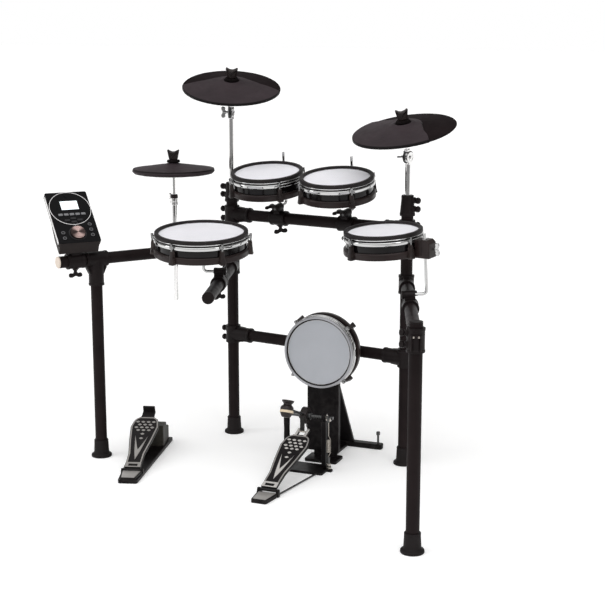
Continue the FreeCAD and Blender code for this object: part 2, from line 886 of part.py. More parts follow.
def topper(hub_half):
    """Fishtail nut on top of a cymbal pad; its underside is relieved so the pad can rock."""
    low = hub_half + seat_gap
    foot_ring = turned([(pin_radius, low), (seat_flat_radius, low), (topper_base_radius, low + seat_relief),
                        (topper_base_radius, low + topper_base_height), (pin_radius, low + topper_base_height)])
    base = low + topper_base_height
    waist = topper_waist / 2
    span = topper_span / 2
    tail_top = base + topper_height
    start = spot(-span, 0, tail_top)
    dip = spot(0, 0, tail_top - topper_dip)
    end = spot(span, 0, tail_top)
    edges = [Part.LineSegment(spot(-waist, 0, base), start).toShape(), Part.Arc(start, dip, end).toShape(),
             Part.LineSegment(end, spot(waist, 0, base)).toShape(),
             Part.LineSegment(spot(waist, 0, base), spot(-waist, 0, base)).toShape()]
    tail = Part.Face(Part.Wire(edges)).extrude(along_y * topper_depth)
    tail = placed(tail, along_y * (-topper_depth / 2))
    pin_hole = disc(pin_radius + fit_gap, 0, low + pin_top)
    return joined(foot_ring, tail).cut(pin_hole)


def pad_seat(hub_half, low):
    """Felt seat under a cymbal pad, relieved like the topper."""
    high = -hub_half - seat_gap
    return turned([(0, low), (seat_radius, low), (seat_radius, high - seat_relief / 2), (seat_flat_radius, high),
                   (0, high)])


def stand_pin(hub_half, low):
    """Pin through a cymbal pad with its felt seat; the pad rocks on it."""
    seat_low = -hub_half - seat_gap - seat_height
    pin = disc(pin_radius, low, hub_half + seat_gap + pin_top - cut_over)
    return joined(pin, pad_seat(hub_half, seat_low))


def tilter_half(turn_side):
    """Toothed disc of a tilter with the neck that carries it; the hinge axis is X."""
    near = tilter_gap / 2 * turn_side
    far = turn_side * (tilter_width + tilter_gap / 2)
    wheel = rod(spot(near, 0, 0), spot(far, 0, 0), tilter_radius)
    low = tilter_radius + tilter_clear
    left = min(near, far)
    neck = Part.makeBox(tilter_width, 2 * stand_radius, low + cut_over, spot(left, -stand_radius, 0))
    return joined(wheel, neck)


def stand_tube(post, pivot, axis):
    """Cymbal tube from inside the post up to the lower tilter half."""
    top = pivot - tilter_radius - tilter_clear
    tube = pipe(raised(post, post_height - stand_tail), raised(post, top), stand_radius, stand_radius - stand_wall)
    cap = rod(raised(post, top - tilter_width), raised(post, top), stand_radius)
    half = seated(tilter_half(-1), raised(post, pivot), axis * -1, up * -1)
    return joined(tube, cap, half)


def cymbal_stand(name, post, pivot, lean, lean_turn):
    """Tube, tilter with topper, and pad of one boom-less cymbal stand."""
    lean_way = heading(lean_turn)
    axis = up.cross(lean_way)
    normal = FreeCAD.Rotation(axis, lean).multVec(up)
    centre = raised(post, pivot) + normal * pad_lift
    tube = stand_tube(post, pivot, axis)
    half = seated(tilter_half(-1), raised(post, pivot), axis, normal)
    pin_foot = tilter_radius + tilter_clear - pad_lift
    pin = seated(stand_pin(cymbal_hub_half, pin_foot), centre, axis, normal)
    collar = seated(disc(stand_radius, pin_foot, pin_foot + tilter_width / 2), centre, axis, normal)
    nut_face = raised(post, pivot) - axis * (tilter_width + tilter_gap / 2)
    nut = wing_bolt(nut_face, axis * -1, up, nut_span, nut_wing_width, nut_wing_height)
    cap = seated(topper(cymbal_hub_half), centre, axis, normal)
    pad = cymbal(cymbal_radius, cymbal_drop, cymbal_edge, cymbal_hub_half, -90)
    return {name + "_tube": tube, name + "_tilter": group(joined(half, collar, pin), nut, cap),
            name + "_pad": seated(pad, centre, axis, normal)}


def hihat():
    """Hi-hat tube, its upper rod with the clutch, and the hi-hat pad."""
    foot_point = raised(hihat_spot, hihat_tube_foot)
    top = raised(hihat_spot, hihat_tube_top)
    tube = pipe(foot_point, top, stand_radius, hihat_rod_radius + fit_gap)
    centre = raised(hihat_spot, hihat_pad_height)
    clutch = disc(hihat_clutch_radius, hihat_tube_top + fit_gap, hihat_tube_top + hihat_clutch_height)
    seat_low = -hihat_hub_half - seat_gap - seat_height
    pin = placed(stand_pin(hihat_hub_half, seat_low), spot(0, 0, hihat_pad_height))
    shaft = disc(hihat_rod_radius, hihat_tube_top - hihat_rod_lap, hihat_pad_height + seat_low)
    stem = placed(joined(clutch, shaft, pin), hihat_spot)
    face = raised(hihat_spot, hihat_tube_top + hihat_clutch_height / 2) + hihat_way * hihat_clutch_radius
    screw = wing_bolt(face, hihat_way, up, nut_span, nut_wing_width, nut_wing_height)
    stem = stem.fuse(rod(face - hihat_way * hihat_clutch_radius, face, stem_radius))
    cap = seated(topper(hihat_hub_half), centre, heading(hihat_topper_turn), up)
    pad = cymbal(hihat_radius, hihat_drop, hihat_edge, hihat_hub_half, None)
    return {"hihat_tube": tube, "hihat_rod": group(stem, screw, cap), "hihat_pad": placed(pad, centre)}


# Kick unit: built square to its own axes, then turned into place
kick_spot = spot(kick_spot_x, kick_spot_y)
pedal_spot = spot(pedal_spot_x, pedal_spot_y)
hihat_pedal_spot = spot(hihat_pedal_x, hihat_pedal_y)


def kick_place(solid):
    return placed(solid, kick_spot, kick_turn)


def tower():
    """Bent-sheet tower, its floor plate, the sloping brace and the rear foot with studs."""
    front = pad_heights()[3]
    rear = front + tower_plate
    plate = slab(tower_half_width, front, rear, tower_foot_gap, tower_top)
    inner = tower_half_width - tower_plate
    returns = slab(tower_half_width, front, rear + tower_flange, tower_foot_gap, tower_top)
    returns = returns.cut(slab(inner, front, rear + tower_flange + cut_over, 0, 2 * tower_top))
    neck = slab(inner + tower_side, front, rear, tower_base_height, tower_foot_gap + cut_over)
    plate = placed(plate, spot(tower_side, 0))
    returns = placed(returns, spot(tower_side, 0))
    base = slab(tower_base_half, tower_base_front, tower_base_rear + tower_flange, 0, tower_base_height)
    corners = [edge for edge in base.Edges if edge.BoundBox.ZLength > tower_base_height / 2]
    base = base.makeFillet(tower_base_height, corners)
    root = tower_plate / 2
    start = spot(-brace_half_width, rear - root, brace_top)
    lean = spot(0, brace_reach + root, rear_foot_height - brace_top)
    sheet = spot(0, brace_sheet * 2, 0)
    brace = prism([start, start + lean, start + lean + sheet, start + sheet], along_x * (2 * brace_half_width))
    foot_front = rear + brace_reach - brace_sheet
    bar = slab(rear_foot_half, foot_front, foot_front + rear_foot_width, 0, rear_foot_height)
    ends = [edge for edge in bar.Edges if edge.BoundBox.ZLength > rear_foot_height / 2]
    bar = bar.makeFillet(rear_foot_height / 2, ends)
    spine = slab(brace_half_width / 2, tower_base_rear, foot_front + cut_over, 0, tower_base_height)
    frame = joined(plate, returns, neck, base, brace, bar, spine)
    solids = [frame]
    for side in (-1, 1):
        place = spot(side * (rear_foot_half - stud_inset), foot_front + rear_foot_width / 2, rear_foot_height)
        knob = disc(stud_knob_radius, stud_height, stud_height + stud_knob_height)
        solids.append(placed(joined(disc(stud_radius, 0, stud_height), knob), place))
    return group(*solids)


def kick_pad():
    """Pad on the tower, its axis level and its head towards the beater."""
    back = kick_spot + heading(kick_turn + 90) * pad_heights()[3]
    face_way = heading(kick_turn - 90)
    base = raised(back, kick_height)

    def place(solid):
        return seated(solid, base, heading(kick_turn), face_way)

    shell = group(*pad_shell(small_radius), pad_jack(small_radius))
    hoop = group(*pad_hoop(small_radius).Solids, *pad_lugs(small_radius, tom_lugs, kick_lug_start).Solids)
    return {"kick_shell": place(shell), "kick_head": place(pad_head(small_radius)), "kick_hoop": place(hoop)}


def heel_block(front, rear, front_half, rear_half, height):
    points = [spot(-front_half, front), spot(front_half, front), spot(rear_half, rear), spot(-rear_half, rear)]
    return prism(points, up * height)


def heel_hinge(rear, low):
    """Two hinge ears behind a heel plate and the pin through them."""
    ear = board_heel_half - board_hinge_radius
    solids = []
    for side in (-1, 1):
        inner = side * (ear + soft_gap)
        outer = side * (ear + board_hinge_radius * 2)
        left = min(inner, outer)
        width = abs(outer - inner)
        length = 2 * board_hinge_radius
        centre = rear + board_hinge_radius + soft_gap
        cheek = Part.makeBox(width, length + soft_gap, board_hinge_height - low, spot(left, rear, low))
        cheek = cheek.fuse(rod(spot(left, centre, board_hinge_height), spot(left + width, centre, board_hinge_height),
                               board_hinge_radius))
        solids.append(cheek)
    pin_half = ear + board_hinge_radius * 2
    centre = rear + board_hinge_radius + soft_gap
    pin = rod(spot(-pin_half, centre, board_hinge_height), spot(pin_half, centre, board_hinge_height),
              board_hinge_radius / 2)
    return joined(*solids, pin), centre


def footboard(hinge_line, slotted):
    """Footboard on its slope with a barrel on the hinge pin; the tip is slotted, or carries a toe plate."""
    slope = math.atan2(board_rise, board_run)
    length = math.hypot(board_rise, board_run)
    ear = board_heel_half - board_hinge_radius
    marks = [(board_hinge_radius / 2, ear), (board_hinge_radius * 3, ear),
             (length * board_waist_share * 2, board_waist_half), (length * board_wide_share, board_half),
             (length * board_shoulder_share, board_half * 4 / 5),
             (length - clevis_slot_length, board_tip_half), (length, board_tip_half)]
    right = [spot(half, along) for along, half in marks]
    left = [spot(-half, along) for along, half in reversed(marks)]
    board = prism(right + left, up * board_sheet)
    if slotted:
        board = board.cut(slab(clevis_slot_half, length - clevis_slot_length, length + cut_over,
                               -cut_over, board_sheet + cut_over))
    else:
        board = board.fuse(slab(toe_half, length - toe_sheet, length, board_sheet / 2, board_sheet + toe_height))
    board = leaned(board, nowhere, along_x, math.degrees(slope))
    barrel = rod(spot(-ear, 0, 0), spot(ear, 0, 0), board_hinge_radius)
    board = joined(board, barrel)
    board = board.cut(rod(spot(-2 * ear, 0, 0), spot(2 * ear, 0, 0), board_hinge_radius / 2 + fit_gap))
    return placed(board, spot(0, hinge_line, board_hinge_height))


def pedal_place(solid):
    return placed(solid, pedal_spot, pedal_turn)


def kick_pedal():
    """Kick pedal: base with posts and heel, footboard, strap, beater and return spring."""
    base = slab(pedal_base_half, -pedal_base_front, pedal_base_rear, 0, pedal_base_height)
    corners = [edge for edge in base.Edges if edge.BoundBox.ZLength > pedal_base_height / 2]
    frame = [base.makeFillet(pedal_base_height, corners)]
    reach = pedal_post_half + pedal_post_width / 2
    for side in (-1, 1):
        left = side * pedal_post_half - pedal_post_width / 2
        frame.append(Part.makeBox(pedal_post_width, pedal_post_depth, pedal_shaft_height - pedal_base_height,
                                  spot(left, -pedal_post_depth / 2, pedal_base_height)))
        frame.append(rod(spot(left, 0, pedal_shaft_height), spot(left + pedal_post_width, 0, pedal_shaft_height),
                         pedal_bearing_radius))
    heel = heel_block(-heel_front, -heel_rear, heel_front_half, heel_rear_half, heel_height)
    hinge, hinge_line = heel_hinge(-heel_rear, 0)
    links = []
    for side in (-1, 1):
        near = spot(side * (heel_rear_half - link_rod_radius * 2), -heel_rear - link_rod_radius, link_rod_lift)
        far = spot(side * pedal_post_half, -pedal_base_front + link_rod_radius, link_rod_lift)
        links.append(rod(near, far, link_rod_radius))
    frame = joined(*frame, heel, hinge, *links)
    hole = pedal_shaft_radius + fit_gap
    frame = frame.cut(rod(spot(-2 * reach, 0, pedal_shaft_height), spot(2 * reach, 0, pedal_shaft_height), hole))
    spring_x = reach + pedal_shaft_over - crank_sheet
    anchor = spot(spring_x, -crank_length, 0)
    bolt_top = spring_foot - spring_neck
    arm = Part.makeBox(pedal_base_half - reach + pedal_shaft_over, crank_width * 2, pedal_base_height,
                       spot(reach - crank_sheet, -crank_length - crank_width, 0))
    bolt = placed(disc(spring_bolt_radius, pedal_base_height, bolt_top), anchor)
    frame = joined(frame, arm, bolt)
    nodes = {"kick_pedal_base": pedal_place(frame), "kick_footboard": pedal_place(footboard(hinge_line, True))}
    nodes["kick_beater"] = pedal_place(beater(reach, spring_x))
    nodes["kick_link"] = pedal_place(strap())
    nodes["kick_spring"] = pedal_place(placed(return_spring(), anchor))
    return nodes, hinge_line


def beater(reach, spring_x):
    """Shaft with the cam, the spring crank, and the beater on its rod; the rod leans back."""
    centre = spot(0, 0, pedal_shaft_height)
    over = reach + pedal_shaft_over
    shaft = rod(centre - along_x * (reach + pedal_shaft_over / 2), centre + along_x * over, pedal_shaft_radius)
    cam = rod(centre - along_x * cam_half, centre + along_x * cam_half, cam_radius - strap_sheet - soft_gap)
    hub = rod(centre - along_x * (cam_half * 2), centre + along_x * (cam_half * 2), beater_hub_radius)
    crank = Part.makeBox(crank_sheet, crank_length + crank_width, crank_width * 2,
                         spot(spring_x - crank_sheet / 2, -crank_length - crank_width, pedal_shaft_height - crank_width))
    eye = rod(spot(spring_x, -crank_length, pedal_shaft_height - 2 * crank_width),
              spot(spring_x, -crank_length, pedal_shaft_height), spring_wire + fit_gap)
    crank = crank.cut(eye)
    way = spot(0, -math.cos(math.radians(beater_lean)), math.sin(math.radians(beater_lean)))
    strike = along_x.cross(way)
    head_centre = centre + way * beater_reach
    rod_part = rod(centre, head_centre, beater_rod_radius)
    half_band = beater_band / 2
    head = turned([(0, -beater_half), (beater_head_radius * 4 / 5, -beater_half), (beater_head_radius, -half_band * 2),
                   (beater_head_radius, half_band), (beater_waist_radius, beater_half / 2),
                   (beater_head_radius * 4 / 5, beater_half), (0, beater_half)])
    head = seated(head, head_centre, along_x, strike * -1)
    return joined(shaft, cam, hub, crank, rod_part, head)


def strap():
    """Drive strap from the cam down into the footboard's slot, with a cross pin at its end."""
    low = board_hinge_height + board_rise * (board_run - clevis_slot_length / 3) / board_run
    line = -cam_radius + strap_sheet / 2
    band = slab(strap_half, line - strap_sheet / 2, line + strap_sheet / 2, low, pedal_shaft_height)
    reach = along_x * (clevis_slot_half - clevis_pin_gap)
    centre = spot(0, line, low + clevis_pin_radius)
    return joined(band, rod(centre - reach, centre + reach, clevis_pin_radius))


def helix_point(turn):
    angle = 2 * math.pi * turn
    return spot(spring_radius * math.cos(angle), spring_radius * math.sin(angle), spring_pitch * turn)


def helix_way(turn):
    angle = 2 * math.pi * turn
    pace = 2 * math.pi * spring_radius
    return spot(-pace * math.sin(angle), pace * math.cos(angle), spring_pitch).normalize()


def tangent_arc(start, way, end):
    """Arc from a point and its direction to an end point."""
    chord = end.sub(start)
    ahead = chord.normalize()
    length = end.sub(start).Length
    bend = way.sub(ahead * way.dot(ahead))
    angle = way.getAngle(ahead)
    middle = start + ahead * (length / 2) + bend.normalize() * (length / 2 * math.tan(angle / 2))
    return Part.Arc(start, middle, end).toShape()


def biarc(start, start_way, end, end_way):
    """Two arcs that meet smoothly between two points with given directions."""
    span = end.sub(start)
    total = start_way + end_way
    spread = 2 * (1 - start_way.dot(end_way))
    along = span.dot(total)
    reach = (-along + math.sqrt(along * along + spread * span.dot(span))) / spread
    join = (start + end + (start_way - end_way) * reach) * (1 / 2)
    back = tangent_arc(end, end_way * -1, join)
    return [tangent_arc(start, start_way, join), back]


def return_spring():
    """Close spring of round wire, drawn in to a straight end at both necks."""
    quarters = 4 * spring_turns
    edges = []
    for step in range(quarters):
        first = step / 4
        last = (step + 1) / 4
        edges += biarc(helix_point(first), helix_way(first), helix_point(last), helix_way(last))
    base = spot(0, 0, -spring_neck)
    top = spot(0, 0, spring_turns * spring_pitch + spring_neck)
    lead = up * (2 * spring_wire)
    head_gap = pedal_shaft_height - crank_width - spring_foot - top.z
    edges = ([Part.LineSegment(base, base + lead).toShape()]
             + biarc(base + lead, up, helix_point(0), helix_way(0)) + edges
             + biarc(helix_point(spring_turns), helix_way(spring_turns), top, up)
             + [Part.LineSegment(top, top + up * (head_gap + crank_width)).toShape()])
    path = Part.Wire(Part.__sortEdges__(edges))
    section = Part.Wire([Part.Circle(base, up, spring_wire).toShape()])
    spring = path.makePipeShell([section], True, False)
    print("spring least gap to itself:", round(spring_gap(), 3))
    return placed(spring, spot(0, 0, spring_foot))


def spring_gap():
    """Least gap between neighbouring turns, measured on points of the wire's centre line."""
    steps = 48
    points = [helix_point(step / steps) for step in range(spring_turns * steps + 1)]
    least = min(points[place].distanceToPoint(other)
                for place in range(0, len(points) - steps // 2, steps // 4)
                for other in points[place + steps // 2:place + 2 * steps])
    return least - 2 * spring_wire


def hihat_pedal():
    """Hi-hat pedal: wedge base with its housing and rubber stop, and the footboard."""
    base = heel_block(0, hihat_pedal_length, hihat_pedal_front_half, hihat_pedal_rear_half, hihat_pedal_sheet)
    hinge, hinge_line = heel_hinge(hihat_board_front, 0)
    heel = heel_block(0, hihat_board_front, heel_front_half, heel_rear_half, heel_height + hihat_pedal_sheet / 2)
    low = hihat_pedal_sheet
    rear = hihat_pedal_length - hihat_pedal_sheet
    profile = [spot(-housing_half, housing_front, low), spot(-housing_half, rear, low),
               spot(-housing_half, rear, housing_low), spot(-housing_half, housing_step, housing_low),
               spot(-housing_half, housing_step - hihat_pedal_sheet, housing_high),
               spot(-housing_half, housing_front, housing_high)]
    housing = prism(profile, along_x * (2 * housing_half))
    stop = placed(disc(stop_radius, low, stop_height), spot(0, stop_place))
    frame = joined(base, hinge, heel, housing, stop)
    return {"hihat_pedal_base": placed(frame, hihat_pedal_spot, hihat_pedal_turn),
            "hihat_footboard": placed(footboard(hinge_line, False), hihat_pedal_spot, hihat_pedal_turn)}, hinge_line


# Sound module: X runs across its face, Y up the slope, Z out of the face; the near edge is the origin
downhill = heading(module_turn)
module_side = up.cross(downhill)
module_origin = module_grip + spot(module_off_x, module_off_y, module_edge_rise)
slope_cos = math.cos(math.radians(module_slope))
slope_sin = math.sin(math.radians(module_slope))
module_up = downhill * -slope_cos + up * slope_sin
module_normal = downhill * slope_sin + up * slope_cos


def module_place(solid):
    return seated(solid, module_origin, module_side, module_normal)


def from_top(share):
    """Height on the face, counted down from its top edge."""
    return module_length * (1 - share)


def key_spots():
    """Places of the keys on the face: a row, a cross of four, and a column at each side."""
    half = (soft_key_count - 1) / 2
    soft = [((step - half) * soft_key_pitch, from_top(soft_key_place_share)) for step in range(soft_key_count)]
    middle = from_top(menu_key_place_share)
    menu = [(0, middle + menu_key_rise), (0, middle - menu_key_rise), (-menu_key_side, middle), (menu_key_side, middle)]
    left = [(-round_key_side, from_top(round_key_left_share) - step * round_key_pitch)
            for step in range(round_key_left_count)]
    right = [(round_key_side, from_top(round_key_right_share) - step * round_key_pitch)
             for step in range(round_key_right_count)]
    return soft, menu, left + right


def rounded_plate(half, length, low, high):
    plate = slab(half, 0, length, low, high)
    corners = [edge for edge in plate.Edges if edge.BoundBox.ZLength > (high - low) / 2]
    return plate.makeFillet(module_corner, corners)


def key_block(width, length, low, high):
    return Part.makeBox(width, length, high - low, spot(-width / 2, -length / 2, low))


def module():
    """Case, face panel with screen and ring, dial, three banks of keys, and the clamp on the arm."""
    soft, menu, rounds = key_spots()
    half = module_width / 2
    length = module_length
    skirt = (module_skirt_back * slope_cos - module_skirt * slope_sin,
             -module_skirt_back * slope_sin - module_skirt * slope_cos)
    inner = module_side_inset - half
    lower = [spot(inner, 0, -module_skin * 2), spot(inner, length * module_back_share, -module_deck),
             spot(inner, length * module_belly_share, -module_belly), spot(inner, skirt[0], skirt[1])]
    panel = rounded_plate(half, length, -module_skin, 0)
    case = joined(rounded_plate(half, length, -module_deck, -module_skin), prism(lower, along_x * (-2 * inner)))
    depth = key_travel + key_gap
    low = -module_skin - depth
    keys = {"module_soft_keys": [], "module_menu_keys": [], "module_round_keys": []}
    for name, places, width, key_length in (("module_soft_keys", soft, soft_key_width, soft_key_length),
                                            ("module_menu_keys", menu, menu_key_width, menu_key_length)):
        for x, y in places:
            keys[name].append(placed(key_block(width, key_length, low + depth, key_rise), spot(x, y)))
            hole = placed(key_block(width + 2 * key_gap, key_length + 2 * key_gap, low, cut_over), spot(x, y))
            panel = panel.cut(hole)
            case = case.cut(hole)
    for x, y in rounds:
        keys["module_round_keys"].append(placed(disc(round_key_radius, low + depth, key_rise), spot(x, y)))
        hole = placed(disc(round_key_radius + key_gap, low, cut_over), spot(x, y))
        panel = panel.cut(hole)
        case = case.cut(hole)
    dial_spot = spot(0, from_top(dial_place_share))
    post = disc(dial_post_radius + fit_gap, -dial_post_length - module_skin, cut_over)
    panel = panel.cut(placed(post, dial_spot))
    case = case.cut(placed(post, dial_spot))
    cap = disc(dial_radius, fit_gap, dial_height)
    cap = cap.makeChamfer(module_skin, [edge for edge in cap.Edges if edge.BoundBox.ZMin > dial_height / 2])
    dial = placed(joined(cap, disc(dial_post_radius, -dial_post_length, fit_gap)), dial_spot)
    screen = placed(key_block(screen_width, screen_length, 0, screen_rise), spot(0, from_top(screen_place_share)))
    ring = placed(disc(ring_radius, 0, ring_rise, ring_radius - ring_width), spot(0, from_top(ring_place_share)))
    nodes = {"module_panel": group(panel, screen, ring), "module_dial": dial, "module_case": case}
    nodes.update({name: group(*solids) for name, solids in keys.items()})
    nodes = {name: module_place(solid) for name, solid in nodes.items()}
    nodes["module_mount"] = module_clamp(nodes["module_case"])
    return nodes


def module_clamp(case):
    """Clamp that turns on the left arm's end and carries the case on a web, with its wing screw."""
    half = left_way * (module_clamp_run / 2)
    ends = (module_grip - half, module_grip + half)
    web = slab(module_web_half, -module_web_depth, module_web_depth, 0, module_web_height)
    body = collared_sleeve(*ends) + [boss(module_grip, up * -1), seated(web, module_grip, left_way, up)]
    screw = wing_bolt(module_grip - up * boss_reach, up * -1, left_way)
    return group(bored(joined(*body), ends).cut(case), screw)


def build():
    """All nodes of the kit by name, shifted so that the origin is under the box's middle."""
    nodes = {}
    nodes.update(rack())
    nodes.update(left_wing())
    nodes.update(right_wing())
    nodes.update(snare())
    nodes.update(side_toms())
    nodes.update(cymbal_stand("crash", back_left, crash_pivot, crash_lean, crash_lean_turn))
    nodes.update(cymbal_stand("ride", back_right, ride_pivot, ride_lean, ride_lean_turn))
    nodes.update(hihat())
    nodes["kick_tower"] = kick_place(tower())
    nodes.update(kick_pad())
    kick_nodes, kick_hinge = kick_pedal()
    nodes.update(kick_nodes)
    hihat_nodes, hihat_hinge = hihat_pedal()
    nodes.update(hihat_nodes)
    nodes.update(module())
    box = group(*nodes.values()).optimalBoundingBox(False, False)
    shift = spot(-(box.XMin + box.XMax) / 2, -(box.YMin + box.YMax) / 2, -box.ZMin)
    return {name: placed(solid, shift) for name, solid in nodes.items()}, shift, (kick_hinge, hihat_hinge)


kit, shift, hinge_lines = build()
os.makedirs("parts", exist_ok=True)
for name, shape in kit.items():
    shape.exportStep("parts/" + name + ".step")
print(len(kit), "nodes, shift", shift)
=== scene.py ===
import json
import math
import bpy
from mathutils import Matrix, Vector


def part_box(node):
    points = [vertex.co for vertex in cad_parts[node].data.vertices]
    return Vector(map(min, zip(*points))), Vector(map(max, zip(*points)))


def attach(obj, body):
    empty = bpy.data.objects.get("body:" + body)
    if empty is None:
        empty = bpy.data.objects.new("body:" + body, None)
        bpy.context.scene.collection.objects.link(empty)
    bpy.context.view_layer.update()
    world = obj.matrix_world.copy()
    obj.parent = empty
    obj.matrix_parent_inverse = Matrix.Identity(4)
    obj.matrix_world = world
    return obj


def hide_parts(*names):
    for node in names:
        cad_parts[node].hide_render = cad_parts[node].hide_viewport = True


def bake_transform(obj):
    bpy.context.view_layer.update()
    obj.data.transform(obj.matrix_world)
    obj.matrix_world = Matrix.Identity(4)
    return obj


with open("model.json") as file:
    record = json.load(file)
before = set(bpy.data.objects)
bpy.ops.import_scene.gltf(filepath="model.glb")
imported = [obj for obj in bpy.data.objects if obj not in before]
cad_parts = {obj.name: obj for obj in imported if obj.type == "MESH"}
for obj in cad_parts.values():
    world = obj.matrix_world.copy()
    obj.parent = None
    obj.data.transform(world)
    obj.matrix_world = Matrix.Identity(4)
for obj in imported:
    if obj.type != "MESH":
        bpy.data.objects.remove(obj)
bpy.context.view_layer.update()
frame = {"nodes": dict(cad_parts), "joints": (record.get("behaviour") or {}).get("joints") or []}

from types import SimpleNamespace as Sizes

import bmesh
import bpy
from mathutils import Matrix, Vector

# Sizes in metres, angles in degrees, in the axes of the piece that they belong to
# An outline that is turned is a run of (radius, height) points
tube = Sizes(radius=0.01905, bore=0.0172, seat=0.0191, edge=0.0008, plug=0.0050, plug_edge=0.0016)
sleeve = Sizes(radius=0.0245, collar=0.0256, collar_width=0.007, collar_fall=0.0082, edge=0.0010,
               post_run=0.060, arm_run=0.076, mount_run=0.058, tall_run=0.086, pad_half=0.010,
               pad_low=0.0147, pad_high=0.0263, pad_edge=0.0024)
rib = Sizes(half=0.011, near=0.012, low=0.0195, out=0.052, fall=0.048, fall_high=0.0245, shoulder=0.0285,
            drop=0.004, corner=0.002, edge=0.003)
screw = Sizes(boss=0.0085, boss_edge=0.001, reach=0.030, stem=0.0045, stem_length=0.009, stem_share=0.62,
              pitch=0.032, sink=0.002, knob=0.0105, knob_low=0.0015, knob_edge=0.0018, knob_steps=72,
              flutes=9, flute_share=0.07, wing_edge_share=0.4, wing_corner_share=0.20, lobe_foot_share=0.30,
              lobe_dip=(0.0036, 0.72), knob_outline=((0, 0), (0.82, 0), (1, 0.0030), (1, 0.0066),
                                                     (0.90, 0.0099), (0.62, 0.0127), (0.34, 0.0135),
                                                     (0, 0.0135)),
              lobe_shares=((0.36, 0.10), (0.76, -0.06), (1, 0.26), (1, 0.80), (0.72, 1), (0.34, 0.92)))
wing_screw = Sizes(span=0.046, width=0.009, height=0.015)
wing_nut = Sizes(span=0.038, width=0.006, height=0.015)
heights = Sizes(left=0.667, low=0.600, bars=(0.777, 0.358), post=0.872, post_end=0.8719, right_post=0.642)
arm = Sizes(left_over=0.128, snare=0.582)
boot = Sizes(floor=0.006, height=0.058, edge=0.002,
             outline=((0, 0), (0.033, 0), (0.034, 0.0035), (0.0332, 0.009), (0.0258, 0.0125), (0.0248, 0.018),
                      (0.0232, 0.051), (0.0222, 0.052), (0.0234, 0.053), (0.0234, 0.058)))
top = Sizes(edge=0.0014, screws=(0.870, 0.843),
            outline=((0.00955, 0.820), (0.0243, 0.820), (0.0245, 0.827), (0.0237, 0.829), (0.0194, 0.877),
                     (0.0200, 0.879), (0.0188, 0.886), (0.00955, 0.886)))
ledge = Sizes(half=0.0150, deep=0.0060, low=0.005, high=0.013, out=0.0225, edge=0.0016, rib=0.0026,
              rib_low=-0.030, rib_high=0.006, rib_side=0.0124, rib_out=0.0218, rib_edge=0.0012,
              screw_side=0.0070, screw_out=0.0283, screw_height=0.009, screw_edge=0.0004,
              screw_outline=((0, 0), (0.0028, 0), (0.0026, 0.0012), (0, 0.0015)))
mount = Sizes(barrel=0.0125, lift=0.037, half=0.016, web=0.011, web_low=0.012, web_top=0.01504,
              web_corner=0.003, web_edge=0.002, boss_reach=0.019, rod=0.005, fit=0.00005, offset=0.050,
              bend=0.014, tail=0.008, end_gap=0.0006, screw_head=0.0042, screw_low=0.0066, screw_high=0.0078,
              knuckle_edge=0.0012, knuckle_outline=((0, 0), (0.01075, 0), (0.0125, 0.0018), (0.0125, 0.0062),
                                                    (0.011, 0.008), (0.0085, 0.008), (0.0075, 0.0068),
                                                    (0, 0.0068)),
              rod_heights=dict(tom_1=0.215, tom_2=0.213, floor_tom=0.218, snare=0.206))
pad = Sizes(small=0.1175, large=0.143, inset=0.004, lip=0.004, floor_gap=0.009, floor_low=0.004,
            floor_high=0.007, floor_edge=0.001, head=0.06225, skin=0.063, dish=0.0004, far=0.045,
            head_shares=(0.1, 0.25, 0.4, 0.55, 0.7, 0.8, 0.9, 1.0))
socket = Sizes(inset=0.028, radius=0.009, bore=0.0033, low=0.0005, high=0.0042)
block = Sizes(reach=0.052, half=0.020, edge=0.0022, corner=0.003, slit_place=0.026, slit=0.0012,
              slit_half=0.0202, slit_low=0.004, slit_top=0.0513, slit_edge=0.0003, collar=0.0085,
              collar_bore=0.00505, collar_low=0.0505, collar_top=0.0530, nut_height=0.024,
              outline=((0.002, -0.003), (0.052, -0.003), (0.052, 0.042), (0.043, 0.051), (0.002, 0.051)))
# Rings of the drums: finish number, rounding, and points of (distance from the drum's radius, height)
shell_rings = ((0, 0.0008, ((-0.010, 0), (-0.004, 0), (-0.004, 0.061), (-0.010, 0.061))),
               (1, 0.0018, ((-0.0045, 0), (0.0028, 0), (0.004, 0.003), (0.004, 0.017), (0.0018, 0.021),
                            (-0.0045, 0.021))))
hoop_rings = ((0, 0.0012, ((-0.0036, 0.042), (0.0018, 0.042), (0.003, 0.0442), (0.003, 0.04775),
                           (0.003, 0.0513), (0.0016, 0.0535), (-0.0036, 0.0535))),
              # The middle ring, in finish 1 (the black shell gloss), is painted shade: a black neck between
              # the chrome band and the chrome lip, standing for the dark of the hoop's recess.
              (1, 0, ((-0.0036, 0.0525), (-0.001, 0.0525), (-0.001, 0.0585), (-0.0036, 0.0585))),
              (0, 0.0007, ((-0.0124, 0.0615), (-0.002, 0.0575), (0.0002, 0.0575), (0.0012, 0.0587),
                           (0.0012, 0.0598), (0.0002, 0.0608), (-0.002, 0.0608), (-0.002, 0.0645),
                           (-0.0124, 0.0645))))
rubber_rim = ((2, 0.0014, ((-0.0124, 0.063), (-0.0084, 0.0608), (-0.001, 0.0608), (0.0004, 0.0618),
                           (0.0004, 0.0699), (-0.0018, 0.0715), (-0.0102, 0.0715), (-0.0124, 0.0695))),)
# The first ring, a thin dark ring in the rim rubber finish inside the kick's bare hoop, is painted shadow
# along the inside of the hoop.
bare_rim = ((2, 0.0006, ((-0.0124, 0.063), (-0.0084, 0.0608), (-0.0058, 0.0608), (-0.0058, 0.0685),
                         (-0.0114, 0.0645))),
            (3, 0.0014, ((-0.0068, 0.0608), (-0.001, 0.0608), (0.0004, 0.0618), (0.0004, 0.0699),
                         (-0.0018, 0.0715), (-0.0052, 0.0715), (-0.0068, 0.0699))))
